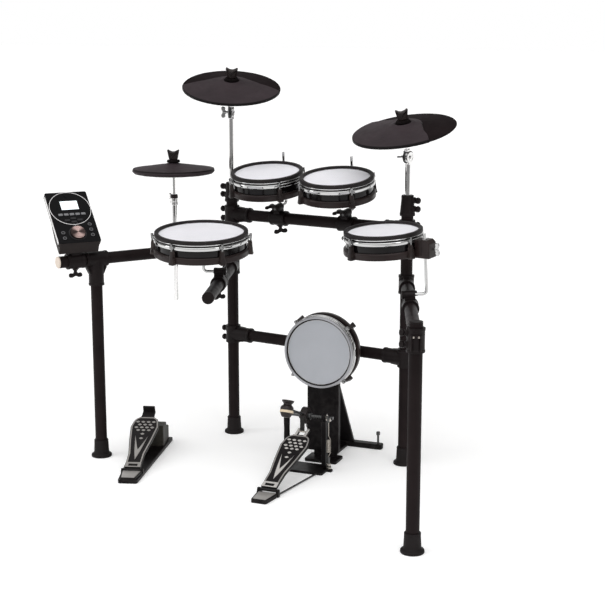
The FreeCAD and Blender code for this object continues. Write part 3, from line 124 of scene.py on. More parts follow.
lug = Sizes(foot=-0.002, top=0.041, foot_half=0.0095, top_half=0.0045, foot_depth=0.012, top_depth=0.0075,
            sink=0.0005, bevel=0.0016, ridge=0.0009, ridge_shares=(0.05, 0.95), ridge_stretch=1.1,
            rod=0.0028, rod_out=0.0042, rod_low=0.039, rod_high=0.0495, claw_low=0.0475, claw_high=0.0565,
            claw_edge=0.0012, claw_corner=0.001, claw=((0.001, 0.0065), (0.0095, 0.0065), (0.0118, 0.0035)),
            nut=0.0042, nut_low=0.0555, nut_high=0.0625, nut_edge=0.0005,
            swell_shares=((0, 0.86), (0.03, 0.97), (0.08, 1), (0.3, 0.96), (0.6, 0.96), (0.9, 1),
                          (0.97, 0.95), (1, 0.8)))
cymbal = Sizes(zone_spots=14, zone_power=1.8, lean_share=0.6, bevel_share=0.75, brink_share=0.4,
               radius=0.164, bore=0.0065, hub=0.007, hub_step=0.003, bell=0.030, drop=0.015, edge=0.006,
               bow_power=1.06, bow_shares=(0, 0.25, 0.5, 0.75, 1), bell_rise=0.0020, bell_foot=0.042,
               ring=0.034, hub_outline=((0.0065, 0), (0.015, 0), (0.0216, 0.0008)),
               rim_shares=((0.0004, 0, 0.22), (0, 0, 0.5), (0, 0.35, 0.86), (0, 1, 1)),
               band_shares=((0, 0.55, 0.80), (0.0002, 0, 0.46), (-0.0002, 0, 0.36), (0.0016, 0, 0.02),
                            (0, 0.5, 0.25)), zone_inner=0.0248, zone_rise=0.0036, zone_sink=0.002,
               zone_lean=0.0005, zone_bevel=0.0006, foot_share=0.9, zone_turns=(84, 97, 110, 125, 150, 180),
               zone_reaches=(0.1642, 0.096, 0.074, 0.062, 0.057, 0.056))
hat = Sizes(radius=0.137, drop=0.006, edge=0.018, hub=0.012, tube_low=0.493, tube_top=0.818, clutch=0.036,
            clutch_radius=0.0125, clutch_edge=0.0006, collar_edge=0.0014, rod=0.005, rod_sink=0.120,
            side=0.034, along=0.203, grip=0.014, grip_half=0.030, grip_reach=0.024, stem_gap=0.001,
            topper_turn=30, clutch_outline=((0, 0.0001), (0.0117, 0.0001), (0.0125, 0.0012), (0.0125, 0.010),
                                            (0.0113, 0.0108), (0.0113, 0.0122), (0.0125, 0.013),
                                            (0.0125, 0.0235), (0, 0.0235)),
            collar_outline=((0, 0.0235), (0.0127, 0.0235), (0.0127, 0.034), (0.0105, 0.036), (0, 0.036)))
topper = Sizes(gap=0.0006, base_height=0.010, height=0.034, depth=0.021, dip=0.006, dip_half=0.01558,
               pin=0.004, pin_top=0.0226, seat_height=0.008, seat_edge=0.0014, washer_edge=0.0016,
               tail_edge=0.0062, tail_corner=0.0022, washer=((0.004, 0), (0.008, 0), (0.0215, 0.0016),
                                                             (0.0225, 0.0036), (0.0215, 0.008),
                                                             (0.02025, 0.010), (0.004, 0.010)),
               flank=((0.00891, 0.008), (0.014904, 0.0135), (0.0162, 0.021), (0.019065, 0.036),
                      (0.0205, 0.0415), (0.01927, 0.044)), seat=((0, 0.008), (0.013, 0.008), (0.0136, 0.004),
                                                                 (0.013, 0.0008), (0.008, 0), (0, 0)))
tilter = Sizes(radius=0.020, width=0.010, gap=0.00005, clear=0.0008, neck=0.0095, neck_half=0.0048,
               neck_low=0.004, neck_sink=0.002, neck_edge=0.0014, teeth=30, tooth_share=0.07, pin=0.0052,
               pin_low=0.009, pin_high=0.013, pin_edge=0.001, edge=0.0008,
               outline=((0, 0.00005), (0.0192, 0.00005), (0.020, 0.002), (0.020, 0.008), (0.018, 0.010),
                        (0.012, 0.010), (0.011, 0.0088), (0, 0.0088)))
stand = Sizes(radius=0.0095, tail=0.140, wall=0.0016, cap=0.010, cap_gap=0.0002, foot=0.005, foot_sink=0.004)
tower = Sizes(stud_steps=60, flutes=20, half=0.055, side=-0.010, front=0.0715, plate=0.004, flange=0.014,
              top=0.455, foot_gap=0.024, sink=0.002, edge=0.0008, corner=0.0022, neck_edge=0.0006,
              base_half=0.056, base_front=0.018, base_rear=0.092, base_height=0.010, base_corner=0.010,
              base_edge=0.0016, brace_top=0.258, brace_reach=0.150, brace_half=0.045, brace_sheet=0.008,
              brace_corner=0.001, foot_half=0.144, foot_width=0.030, foot_height=0.018, foot_corner=0.009,
              foot_edge=0.003, tie_front=0.078, tie_edge=0.001, stud=0.004, stud_height=0.030,
              stud_top=0.042, stud_inset=0.016, stud_sink=0.001, stud_knob=0.0065, stud_edge=0.0016,
              flute_share=0.08, bolt_heights=(0.300, 0.420), bolt_side=0.030, bolt_edge=0.0006,
              bolt_outline=((0, 0), (0.0065, 0), (0.0058, 0.0026), (0, 0.0034)))
pedal = Sizes(hinge_line=-0.30665, hinge_height=0.019, post_half=0.066, post_width=0.014, post_edge=0.0018,
              post_corner=0.004, shaft_height=0.172, shaft=0.006, shaft_left=0.084, shaft_right=0.095,
              bearing=0.014, bearing_bore=0.00605, bearing_edge=0.0016, race=0.0095, race_bore=0.0061,
              race_in=0.0068, race_out=0.0078, race_edge=0.0004, base_half=0.085, base_deep=0.045,
              base_place=-0.029, base_corner=0.008, base_edge=0.0014, base_height=0.008, heel_front=0.385,
              heel_rear=0.312, heel_height=0.013, link=0.003, link_lift=0.005, link_near=0.028,
              link_front=0.315, link_rear=0.071, crank=0.024, crank_width=0.008,
              post_outline=((-0.012, 0.006), (0.012, 0.006), (0.0118, 0.060), (0.0095, 0.120),
                            (0.0118, 0.160), (-0.0118, 0.160), (-0.0095, 0.120), (-0.0118, 0.060)))
heel = Sizes(front_half=0.025, rear_half=0.034, corner=0.006, edge=0.0022, margin=0.0050, sink=0.001,
             rise=0.0005, field_edge=0.0003, hinge=0.00535, pin=0.0025, pin_half=0.0358, ear_side=0.0315,
             ear_half=0.0046, ear_sink=0.004, ear_fall=0.003, ear_edge=0.0008, ear_corner=0.0015,
             ear_outline=((0.005, 0), (0.005, 0.0205), (0.0025, 0.0238), (-0.0025, 0.0238),
                          (-0.005, 0.0205)))
board = Sizes(run=0.298, rise=0.104, sheet=0.009, tip=0.0210, edge=0.0018, corner=0.0032, barrel=0.005,
              barrel_half=0.0257, slot=0.011, slot_length=0.036, toe=0.0205, toe_height=0.019,
              toe_sheet=0.007, toe_low=0.0045, toe_edge=0.002, margin=0.002, line=0.0044,
              line_foot=(0.0245, 0.020), line_top=(0.024, 0.2740), line_corner=0.005, inlay_low=0.008,
              inlay_high=0.0096, dot=0.0078, dot_deep=0.0056, dot_pitch=0.0178, dot_row=0.0155,
              dot_top=0.2480, dot_high=0.0103, dot_edge=0.0009, dot_corner=0.0030,
              single_dots=(0.1810, 0.1565), prong=0.016, prong_half=0.0042, prong_low=0.2745,
              prong_gap=0.002, prong_high=0.0102, prong_edge=0.0008, prong_corner=0.002, heel_low=0.0085,
              heel_high=0.0104, heel_edge=0.0006, heel_corner=0.003,
              heel=((0.0256, 0.0038), (0.0250, 0.0275)), window=0.0150, window_deep=0.0058,
              window_low=0.0094, window_high=0.0108, window_place=0.0130, window_edge=0.0004,
              vee_edge=0.0003, vee_corner=0.0008, vee=((0, 0.042), (0.0098, 0.090), (0.0215, 0.171),
                                                       (0.0054, 0.111), (0, 0.095)),
              marks=((0.0025, 0.026), (0.015, 0.026), (0.0758, 0.027), (0.150, 0.0385), (0.2209, 0.047),
                     (0.2500, 0.0425), (0.2651, 0.0370), (0.2796, 0.0210)))
beater = Sizes(reach=0.170, lean=22, rod=0.0045, hub=0.012, hub_half=0.020, cam=0.02765, cam_half=0.010,
               cam_edge=0.0014, head_edge=0.0024, band=0.0216, band_bore=0.019, band_low=-0.0125,
               band_high=-0.0045, band_edge=0.0008, nut=0.0048, nut_height=0.0030, nut_seat=0.0028,
               nut_edge=0.0006, crank_half=0.003, crank_edge=0.0009, crank_corner=0.004,
               crank=((-0.032, 0.0075), (-0.004, 0.008), (0.006, 0.004)),
               head_outline=((0, -0.027), (0.0126, -0.027), (0.01554, -0.023), (0.01974, -0.014),
                             (0.021, -0.009), (0.021, 0.004), (0.01806, 0.0085), (0.013, 0.0125),
                             (0.0134, 0.0165), (0.01764, 0.0208), (0.01953, 0.024), (0.01932, 0.027),
                             (0, 0.027)))
strap = Sizes(half=0.008, line=-0.029, sheet=0.002, low=0.1228, pin=0.0025, pin_half=0.0105, edge=0.0007)
spring = Sizes(tail_shares=(0.35, 0.7), neck_shares=(0.4, 0.75, 1), wire_steps=10, radius=0.0065, wire=0.001,
               pitch=0.003, turns=14, turn_steps=24, tail=0.052, foot=0.064, neck=0.014, bolt=0.0045,
               bolt_top=0.050, hook=0.164, side=0.089, sink=0.002, ear_half=0.017, ear_place=0.084,
               ear_edge=0.0012, nut=0.0075, nut_edge=0.001, nuts=((0.0085, 0.0145), (0.020, 0.027)),
               wire_heights=(0.125, 0.135, 0.145, 0.155, 0.164, 0.172))
hat_pedal = Sizes(stop_steps=48, flutes=12, hinge_line=0.08035, length=0.465, front_half=0.031,
                  rear_half=0.062, sheet=0.012, edge=0.002, corner=0.008, sink=0.002, heel_front=0.0005,
                  heel_rear=0.075, heel_height=0.019, housing_front=0.352, housing_half=0.050,
                  housing_low=0.060, housing_high=0.084, housing_step=0.420, housing_top=0.408,
                  housing_edge=0.003, housing_corner=0.005, stop=0.011, stop_place=0.300, stop_height=0.066,
                  flute_share=0.05)
module = Sizes(ring_steps=160, width=0.139, length=0.211, skin=0.002, seam=0.0004, deck=0.020,
               deck_edge=0.0016, skirt=0.040, skirt_back=0.0244, belly=0.046, belly_share=0.236,
               back_share=0.8, overlap=0.001, inset=0.004, corner=0.006, case_edge=0.003, case_corner=0.004,
               slope=42.5, face_edge=0.0007, fine_edge=0.0003, sink=0.0005, screen_width=0.057,
               screen_length=0.036, screen_share=0.27, screen_rise=0.0008, bezel=0.0022, bezel_width=0.0024,
               bezel_rise=0.0010, ring=0.0685, ring_width=0.0020, ring_rise=0.0014, ring_sink=0.0004,
               ring_edge=0.0006, ring_share=0.333, dial=0.0253, dial_share=0.825, well_out=0.0035,
               well_in=0.001, well_rise=0.0005, pointer_half=0.0004, pointer_gap=0.0075, pointer_edge=0.0002,
               pointer_corner=0.0006, pointer=((0, -0.0035), (0.0032, 0.0028), (-0.0032, 0.0028)),
               band_rise=0.0004, band_sink=0.002, band_edge=0.0004, band_corner=0.003,
               band=((0.006, -0.0035), (0.010, -0.0150)), web_half=0.017, web_depth=0.014, web_low=0.015,
               web_height=0.060, web_edge=0.002)
dial = Sizes(steps=128, grip_steps=240, flutes=60, edge=0.0008, flute_share=0.014,
             outline=((0, 0.00005), (0.0243, 0.00005), (0.0253, 0.0014), (0.0247, 0.0077), (0.0227, 0.0105),
                      (0.0213, 0.0100), (0.004, 0.0093), (0, 0.0093)),
             grip=((0.0241, 0.0010), (0.0254, 0.0016), (0.0249, 0.0075), (0.0237, 0.0077)))
key = Sizes(steps=48, rise=0.0026, low=-0.0004, edge=0.0011, soft_half=0.0074, soft_deep=0.0045,
            soft_pitch=0.0188, soft_share=0.451, menu_half=0.0085, menu_deep=0.004, menu_side=0.021,
            menu_rise=0.007, menu_share=0.568, round_pitch=0.022, round_side=0.047, left_share=0.805,
            right_share=0.668, cap_edge=0.0005, ring=0.0060, ring_bore=0.0048, ring_low=0.0016,
            ring_high=0.0028, ring_edge=0.0003, cap_outline=((0, -0.0004), (0.0064, -0.0004),
                                                             (0.0064, 0.0018), (0.0056, 0.0026),
                                                             (0, 0.0023)))

# The camera's place, lens and tilt, fitted to the photograph
camera_place = (2.30581, -3.53286, 1.421)
camera_lens = 81.24
camera_sensor = 36.0
camera_pitch = 11.625
camera_yaw = 31.862

X_WAY = Vector((1, 0, 0))
Y_WAY = Vector((0, 1, 0))
UP = Vector((0, 0, 1))
HERE = Matrix()
fine_steps = 96
rod_steps = 32
corner_steps = 3
hex_sides = 6
sharp_angle = 38


# Places read from the frame
joints = {joint["name"]: joint for joint in frame["joints"]}


def joint_point(name):
    return Vector(joints[name]["pos_m"])


def joint_axis(name):
    return Vector(joints[name]["axis"]).normalized()


def axes(origin, x_way, z_way):
    """Placement whose X and Z run along two square directions."""
    turn = Matrix((x_way, z_way.cross(x_way), z_way)).transposed()
    return Matrix.Translation(origin) @ turn.to_4x4()


def along(start, way):
    """Placement whose Z runs along a direction."""
    return Matrix.Translation(start) @ way.to_track_quat("Z", "Y").to_matrix().to_4x4()


def level(origin, z_way):
    """Placement along a direction, with X as near the frame's X as it goes."""
    side = X_WAY - z_way * z_way.x
    return axes(origin, side.normalized(), z_way)


def moved(x=0.0, y=0.0, z=0.0):
    return Matrix.Translation((x, y, z))


def spun(angle, axis="Z"):
    return Matrix.Rotation(math.radians(angle), 4, axis)


def middle(node):
    low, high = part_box(node)
    return (low + high) / 2


ACROSS = axes(Vector(), Y_WAY, X_WAY)
back_left = joint_point("left_wing_swing")
back_right = joint_point("right_wing_swing")
left_way = joint_axis("module_tilt")
right_way = joint_axis("floor_tom_tilt")
snare_side = joint_axis("snare_roll")
snare_way = UP.cross(snare_side)
front_left = middle("left_post") * Vector((1, 1, 0))
front_right = middle("right_post") * Vector((1, 1, 0))
hihat_way = left_way.cross(UP)
hihat_spot = back_left + left_way * hat.along + hihat_way * hat.side


# Outlines and solids
def soften(outline, radius, axis=False):
    """Outline with rounded corners; with axis set, corners on the turning axis stay."""
    soft = []
    for place, corner in enumerate(outline):
        here = Vector(corner)
        if axis and here.x == 0:
            soft.append(tuple(here))
            continue
        before = Vector(outline[place - 1]) - here
        after = Vector(outline[(place + 1) % len(outline)]) - here
        cut = min(radius, before.length / 2.2, after.length / 2.2)
        first = here + before.normalized() * cut
        last = here + after.normalized() * cut
        for step in range(corner_steps + 1):
            share = step / corner_steps
            soft.append(tuple(first.lerp(here, share).lerp(here.lerp(last, share), share)))
    return soft


def inset(outline, distance):
    """Anticlockwise outline moved inwards."""
    inner = []
    for place, corner in enumerate(outline):
        here = Vector(corner)
        before = (here - Vector(outline[place - 1])).normalized()
        after = (Vector(outline[(place + 1) % len(outline)]) - here).normalized()
        normal = Vector((-before.y - after.y, before.x + after.x)).normalized()
        share = max(normal.dot(Vector((-after.y, after.x))), 0.3)
        inner.append(tuple(here + normal * (distance / share)))
    return inner


def oblong(half_x, half_y, corner):
    return soften([(-half_x, -half_y), (half_x, -half_y), (half_x, half_y), (-half_x, half_y)], corner)


class Shape:
    """Geometry of one piece, in the piece's own axes; every part of it has a finish number."""

    def __init__(self):
        self.mesh = bmesh.new()

    def face(self, corners, finish):
        face = self.mesh.faces.new(corners)
        face.material_index = finish
        face.smooth = True

    def skin(self, first, second, finish):
        count = max(len(first), len(second))
        for step in range(count):
            after = (step + 1) % count
            ring = [first[step % len(first)], first[after % len(first)],
                    second[after % len(second)], second[step % len(second)]]
            corners = list(dict.fromkeys(ring))
            if len(corners) > 2:
                self.face(corners, finish)

    def rings(self, rings, finish=0, place=HERE, closed=False):
        """Skin over a run of point rings, closed on itself or capped at both ends."""
        rows = [[self.mesh.verts.new(place @ Vector(point)) for point in ring] for ring in rings]
        for first, second in zip(rows, rows[1:]):
            self.skin(first, second, finish)
        if closed:
            self.skin(rows[-1], rows[0], finish)
            return
        for row in (rows[0], rows[-1]):
            if len(row) > 2:
                self.face(row, finish)

    def lathe(self, outline, edge=0.0, finish=0, place=HERE, steps=fine_steps, waves=0, depth=0.0):
        """Outline turned round Z, its corners rounded; waves flute it by a share of the radius."""
        if edge:
            outline = soften(outline, edge, axis=True)
        rings = []
        for radius, height in outline:
            if radius == 0:
                rings.append([(0, 0, height)])
                continue
            ring = []
            for step in range(steps):
                angle = 2 * math.pi * step / steps
                reach = radius * (1 - depth * (1 - math.cos(waves * angle)) / 2)
                ring.append((reach * math.cos(angle), reach * math.sin(angle), height))
            rings.append(ring)
        solid = outline[0][0] == 0 and outline[-1][0] == 0
        self.rings(rings, finish, place, closed=not solid)

    def prism(self, outline, low, high, finish=0, place=HERE, edge=0.0008, corner=0.0):
        """Anticlockwise outline drawn up Z, with rounded corners and rims."""
        if corner:
            outline = soften(outline, corner)
        rings = []
        edge = min(edge, (high - low) / 2.2)
        for step in range(corner_steps + 1):
            angle = math.pi / 2 * step / corner_steps
            around = inset(outline, edge * (1 - math.sin(angle)))
            rings.append([(x, y, low + edge * (1 - math.cos(angle))) for x, y in around])
        upper = [[(x, y, low + high - z) for x, y, z in ring] for ring in reversed(rings)]
        self.rings(rings + upper, finish, place)

    def block(self, half_x, half_y, low, high, finish=0, place=HERE, edge=0.001):
        self.prism(oblong(half_x, half_y, edge * 2), low, high, finish, place, edge)

    def disc(self, radius, low, high, finish=0, place=HERE, edge=0.0006, steps=rod_steps, waves=0, depth=0.0):
        """Solid round of one radius between two heights."""
        outline = [(0, low), (radius, low), (radius, high), (0, high)]
        self.lathe(outline, edge, finish, place, steps, waves, depth)

    def rod(self, start, end, radius, finish=0, place=HERE, edge=0.0006):
        way = Vector(end) - Vector(start)
        self.disc(radius, 0, way.length, finish, place @ along(Vector(start), way), edge)

    def ring(self, start, end, radius, bore, finish=0, place=HERE, edge=0.0012, steps=fine_steps):
        way = Vector(end) - Vector(start)
        outline = [(bore, 0), (radius, 0), (radius, way.length), (bore, way.length)]
        self.lathe(outline, edge, finish, place @ along(Vector(start), way), steps)

    def hose(self, points, radius, finish=0, place=HERE, sides=20):
        """Round bar along a run of points."""
        points = [Vector(point) for point in points]
        rings = []
        turn = None
        for step, point in enumerate(points):
            way = points[min(step + 1, len(points) - 1)] - points[max(step - 1, 0)]
            turn = way.to_track_quat("Z", "Y") if turn is None else turn_to(turn, way)
            rings.append([point + turn @ Vector((radius * math.cos(2 * math.pi * side / sides),
                                                 radius * math.sin(2 * math.pi * side / sides), 0))
                          for side in range(sides)])
        self.rings(rings, finish, place)


def turn_to(turn, way):
    """Turn carried on along a bent bar with no twist."""
    return (turn @ UP).rotation_difference(way) @ turn


def bend(before, corner, after, radius, steps=8):
    """Points that round a corner between two straight runs."""
    corner = Vector(corner)
    first = corner + (Vector(before) - corner).normalized() * radius
    last = corner + (Vector(after) - corner).normalized() * radius
    shares = [step / steps for step in range(steps + 1)]
    return [first.lerp(corner, share).lerp(corner.lerp(last, share), share) for share in shares]


def piece(name, shape, finishes, body, slot, place=HERE, stands_for=()):
    """Makes a piece of the object from a shape and hangs it on its body."""
    bmesh.ops.recalc_face_normals(shape.mesh, faces=shape.mesh.faces)
    mesh = bpy.data.meshes.new(name)
    shape.mesh.to_mesh(mesh)
    shape.mesh.free()
    for finish in finishes:
        mesh.materials.append(finish)
    mesh.set_sharp_from_angle(angle=math.radians(sharp_angle))
    made = bpy.data.objects.new(name, mesh)
    bpy.context.scene.collection.objects.link(made)
    made.matrix_world = place
    made.modifiers.new("normals", "WEIGHTED_NORMAL").keep_sharp = True
    if body:
        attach(made, body)
    if stands_for:
        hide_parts(*stands_for)
    return made


# Finishes
class Nodes:
    """Short way to write a material's node tree."""

    def __init__(self, name):
        self.material = bpy.data.materials.new(name)
        self.material.use_nodes = True
        self.tree = self.material.node_tree
        self.shader = self.tree.nodes["Principled BSDF"]
        self.coords = self.add("TexCoord").outputs["Object"]

    def add(self, kind, **values):
        node = self.tree.nodes.new("ShaderNode" + kind)
        for name, value in values.items():
            setattr(node, name, value)
        return node

    def join(self, output, socket):
        self.tree.links.new(output, socket)

    def paint(self, value, name="Base Color"):
        self.join(value, self.shader.inputs[name])

    def split(self):
        """X, Y and Z in the piece's own axes."""
        parts = self.add("SeparateXYZ")
        self.join(self.coords, parts.inputs[0])
        return parts.outputs

    def axis_distance(self, parts):
        squares = [self.math("MULTIPLY", parts[way], parts[way]) for way in "XY"]
        return self.math("SQRT", self.math("ADD", *squares), 0)

    def wave(self, value, pitch):
        return self.math("SINE", self.math("MULTIPLY", value, 2 * math.pi / pitch), 0)

    def noise(self, scale, detail=3.0):
        node = self.add("TexNoise")
        node.inputs["Scale"].default_value = scale
        node.inputs["Detail"].default_value = detail
        node.inputs["Roughness"].default_value = 0.55
        self.join(self.coords, node.inputs["Vector"])
        return node.outputs["Fac"]

    def spread(self, value, low, high, start=0.0, end=1.0):
        node = self.add("MapRange")
        self.join(value, node.inputs["Value"])
        for name, number in (("From Min", start), ("From Max", end), ("To Min", low), ("To Max", high)):
            node.inputs[name].default_value = number
        return node.outputs["Result"]

    def math(self, operation, first, second):
        node = self.add("Math", operation=operation)
        for socket, value in zip(node.inputs, (first, second)):
            if isinstance(value, (int, float)):
                socket.default_value = value
            else:
                self.join(value, socket)
        return node.outputs[0]

    def mix(self, share, first, second):
        node = self.add("Mix", data_type="RGBA")
        self.join(share, node.inputs["Factor"])
        for name, value in (("A", first), ("B", second)):
            socket = next(s for s in node.inputs if s.name == name and s.type == "RGBA")
            if isinstance(value, tuple):
                socket.default_value = (*value, 1)
            else:
                self.join(value, socket)
        return next(s for s in node.outputs if s.type == "RGBA")

    def bump(self, value, strength, distance):
        node = self.add("Bump")
        node.inputs["Strength"].default_value = strength
        node.inputs["Distance"].default_value = distance
        self.join(value, node.inputs["Height"])
        self.join(node.outputs["Normal"], self.shader.inputs["Normal"])

    def set(self, **values):
        for name, value in values.items():
            self.shader.inputs[name.replace("_", " ")].default_value = value


def shade(colour, share):
    return tuple(min(1.0, channel * share) for channel in colour)


def finish(name, colour, rough, metal=0.0, gloss=0.5, tone=0.25, grain=900.0, grain_depth=0.00004, wear=None,
           smudge=0.06, coat=0.0):
    """Surface with broad colour variation, a fine grain, smudged gloss and paler worn edges."""
    nodes = Nodes(name)
    broad = nodes.noise(14.0)
    colours = nodes.mix(nodes.spread(broad, 0, 1, 0.3, 0.7), shade(colour, 1 - tone), shade(colour, 1 + tone))
    if wear:
        edges = nodes.add("NewGeometry").outputs["Pointiness"]
        patches = nodes.spread(nodes.noise(60.0), 0, 1, 0.4, 0.7)
        worn = nodes.math("MULTIPLY", nodes.spread(edges, 0, 1, 0.53, 0.60), patches)
        colours = nodes.mix(worn, colours, wear)
    nodes.paint(colours)
    blots = nodes.noise(45.0, 5.0)
    nodes.paint(nodes.spread(blots, rough - smudge, rough + smudge, 0.3, 0.7), "Roughness")
    nodes.bump(nodes.noise(grain, 2.0), 0.35, grain_depth)
    nodes.set(Metallic=metal, Specular_IOR_Level=gloss, Coat_Weight=coat, Coat_Roughness=0.08)
    return nodes.material


def woven(name, colour, pitch, rough, depth):
    """Plain weave of round threads in two directions, with open pores painted darker as shade between the
    threads.
    """
    nodes = Nodes(name)
    parts = nodes.split()
    across = nodes.wave(parts["X"], pitch)
    down = nodes.wave(parts["Y"], pitch)
    threads = nodes.math("MAXIMUM", nodes.math("ABSOLUTE", across, 0), nodes.math("ABSOLUTE", down, 0))
    # Painted shade: the pores between the threads are darker than the threads.
    painted_pore_shade = nodes.spread(threads, 0, 1, 0.15, 0.55)
    cloudy = nodes.spread(nodes.noise(9.0), 0, 1, 0.35, 0.65)
    threads_colour = nodes.mix(cloudy, shade(colour, 0.97), shade(colour, 1.03))
    nodes.paint(nodes.mix(painted_pore_shade, shade(colour, 0.80), threads_colour))
    nodes.paint(nodes.spread(nodes.noise(300.0), rough - 0.05, rough + 0.05), "Roughness")
    nodes.bump(threads, 0.5, depth)
    nodes.set(Specular_IOR_Level=0.3, Sheen_Weight=0.15, Sheen_Roughness=0.5)
    return nodes.material


def grooved(name, colour, rough, pitch, depth, gloss):
    """Moulded rubber with fine concentric grooves round the piece's Z axis."""
    nodes = Nodes(name)
    parts = nodes.split()
    radius = nodes.axis_distance(parts)
    waves = nodes.wave(radius, pitch)
    speckle = nodes.noise(1500.0, 2.0)
    height = nodes.math("ADD", nodes.math("MULTIPLY", waves, 0.5), speckle)
    patches = nodes.spread(nodes.noise(11.0), 0, 1, 0.3, 0.7)
    nodes.paint(nodes.mix(patches, shade(colour, 0.8), shade(colour, 1.2)))
    nodes.paint(nodes.spread(nodes.noise(40.0), rough - 0.05, rough + 0.05, 0.3, 0.7), "Roughness")
    nodes.bump(height, 0.4, depth)
    nodes.set(Specular_IOR_Level=gloss)
    return nodes.material


def spun_metal(name, colour, rough):
    """Metal turned on a lathe: its brushing runs round Z, and its colour holds painted highlight and shade in
    wedges round Z.
    """
    nodes = Nodes(name)
    parts = nodes.split()
    radius = nodes.axis_distance(parts)
    brush = nodes.add("TexNoise", noise_dimensions="1D")
    brush.inputs["Scale"].default_value = 6000.0
    nodes.join(radius, brush.inputs["W"])
    turned = nodes.math("ARCTAN2", parts["X"], parts["Y"])
    # Painted highlight and shade: the colour runs from light to nearly black in wedges round Z, standing in
    # for how turned metal catches the light.
    painted_highlight_wedges = nodes.math("COSINE", nodes.math("MULTIPLY", turned, 2.0), 0)
    brushed = nodes.mix(brush.outputs["Fac"], shade(colour, 0.85), shade(colour, 1.15))
    nodes.paint(nodes.mix(nodes.spread(painted_highlight_wedges, 0, 1, -0.75, 0.55), shade(colour, 0.10), brushed))
    nodes.paint(nodes.spread(brush.outputs["Fac"], rough - 0.05, rough + 0.05), "Roughness")
    nodes.bump(brush.outputs["Fac"], 0.25, 0.00003)
    tangent = nodes.add("Tangent", direction_type="RADIAL", axis="Z")
    nodes.paint(tangent.outputs["Tangent"], "Tangent")
    nodes.set(Metallic=1.0, Anisotropic=0.85)
    return nodes.material


def lit_screen(name, colour, glow, dot_pitch):
    """Display glass lit from behind, a little dimmer towards its rows of dots."""
    nodes = Nodes(name)
    parts = nodes.split()
    rows = nodes.wave(parts["Y"], dot_pitch)
    glass = nodes.mix(nodes.spread(rows, 0, 1, -1, 1), shade(colour, 0.94), colour)
    nodes.paint(glass)
    nodes.paint(glass, "Emission Color")
    nodes.paint(nodes.spread(nodes.noise(80.0), 0.08, 0.16), "Roughness")
    nodes.set(Emission_Strength=glow)
    return nodes.material


satin = finish("satin_tube_paint", (0.0120, 0.0082, 0.0084), 0.46, gloss=0.07, tone=0.2, grain=1400.0,
               wear=(0.03, 0.024, 0.022))
moulding = finish("moulded_plastic", (0.0078, 0.0050, 0.0052), 0.44, gloss=0.15, grain=1800.0,
                  wear=(0.022, 0.017, 0.016))
rubber = finish("boot_rubber", (0.0076, 0.0054, 0.0056), 0.60, gloss=0.18, grain=1100.0, grain_depth=0.00008)
chrome = finish("chrome_plate", (0.88, 0.875, 0.87), 0.11, metal=1.0, tone=0.04, smudge=0.03,
                grain_depth=0.00001)
hoop_plate = finish("hoop_plate", (0.56, 0.56, 0.56), 0.08, metal=1.0, tone=0.06, smudge=0.03,
                    grain_depth=0.00001)
bare_plate = finish("bare_hoop_edge", (0.36, 0.36, 0.38), 0.34, metal=0.6, tone=0.06, grain_depth=0.00001)
claw_plate = finish("claw_plate", (0.25, 0.25, 0.25), 0.18, metal=1.0, tone=0.08, smudge=0.04,
                    grain_depth=0.00001)
steel = finish("zinc_steel", (0.52, 0.48, 0.43), 0.28, metal=1.0, tone=0.12, grain_depth=0.00002)
dark_steel = finish("dark_screw", (0.10, 0.10, 0.10), 0.30, metal=1.0, tone=0.12, grain_depth=0.00002)
gloss_black = finish("gloss_shell", (0.0042, 0.0032, 0.0036), 0.12, gloss=0.20, smudge=0.03,
                     grain_depth=0.00001, coat=0.04)
base_brown = finish("base_ring", (0.0165, 0.0102, 0.0098), 0.34, gloss=0.22, grain=1500.0,
                    wear=(0.035, 0.025, 0.023))
casing = finish("lug_casing", (0.0170, 0.0122, 0.0118), 0.30, gloss=0.28, grain=1600.0,
                wear=(0.06, 0.048, 0.045))
rim_rubber = finish("rim_rubber", (0.0150, 0.0125, 0.0130), 0.55, gloss=0.16, grain=1300.0,
                    grain_depth=0.00006)
white_mesh = woven("white_mesh", (0.82, 0.815, 0.855), 0.0011, 0.62, 0.00025)
grey_mesh = woven("grey_mesh", (0.42, 0.435, 0.468), 0.0011, 0.55, 0.00020)
pad_rubber = grooved("cymbal_rubber", (0.0310, 0.0222, 0.0256), 0.64, 0.0026, 0.00006, 0.16)
bow_plastic = grooved("cymbal_bow", (0.0125, 0.0090, 0.0096), 0.62, 0.0020, 0.00004, 0.01)
edge_rubber = finish("cymbal_edge", (0.0052, 0.0038, 0.0042), 0.50, gloss=0.12, grain=1200.0)
felt = finish("seat_felt", (0.0070, 0.0052, 0.0054), 0.90, gloss=0.05, grain=700.0, grain_depth=0.0004)
sheet_black = finish("sheet_paint", (0.0068, 0.0056, 0.0060), 0.40, gloss=0.08, grain=1000.0,
                     wear=(0.05, 0.046, 0.044))
board_black = finish("board_paint", (0.0080, 0.0066, 0.0070), 0.42, gloss=0.20, grain=1900.0,
                     grain_depth=0.00008)
inlay = finish("silver_inlay", (0.36, 0.345, 0.33), 0.38, metal=0.35, gloss=0.4, tone=0.10, grain=1600.0)
bright_inlay = finish("bright_inlay", (0.62, 0.60, 0.575), 0.36, metal=0.25, gloss=0.4, tone=0.08,
                      grain=1500.0)
olive = finish("housing_paint", (0.026, 0.024, 0.0195), 0.55, gloss=0.20, grain=800.0, grain_depth=0.0001,
               wear=(0.10, 0.09, 0.075))
cream = finish("beater_band", (0.66, 0.55, 0.40), 0.55, gloss=0.3, tone=0.08, grain=700.0)
webbing = woven("drive_strap", (0.0120, 0.0110, 0.0105), 0.0016, 0.7, 0.0004)
panel_black = finish("panel_gloss", (0.0040, 0.0038, 0.0044), 0.30, gloss=0.06, smudge=0.04,
                     grain_depth=0.00001)
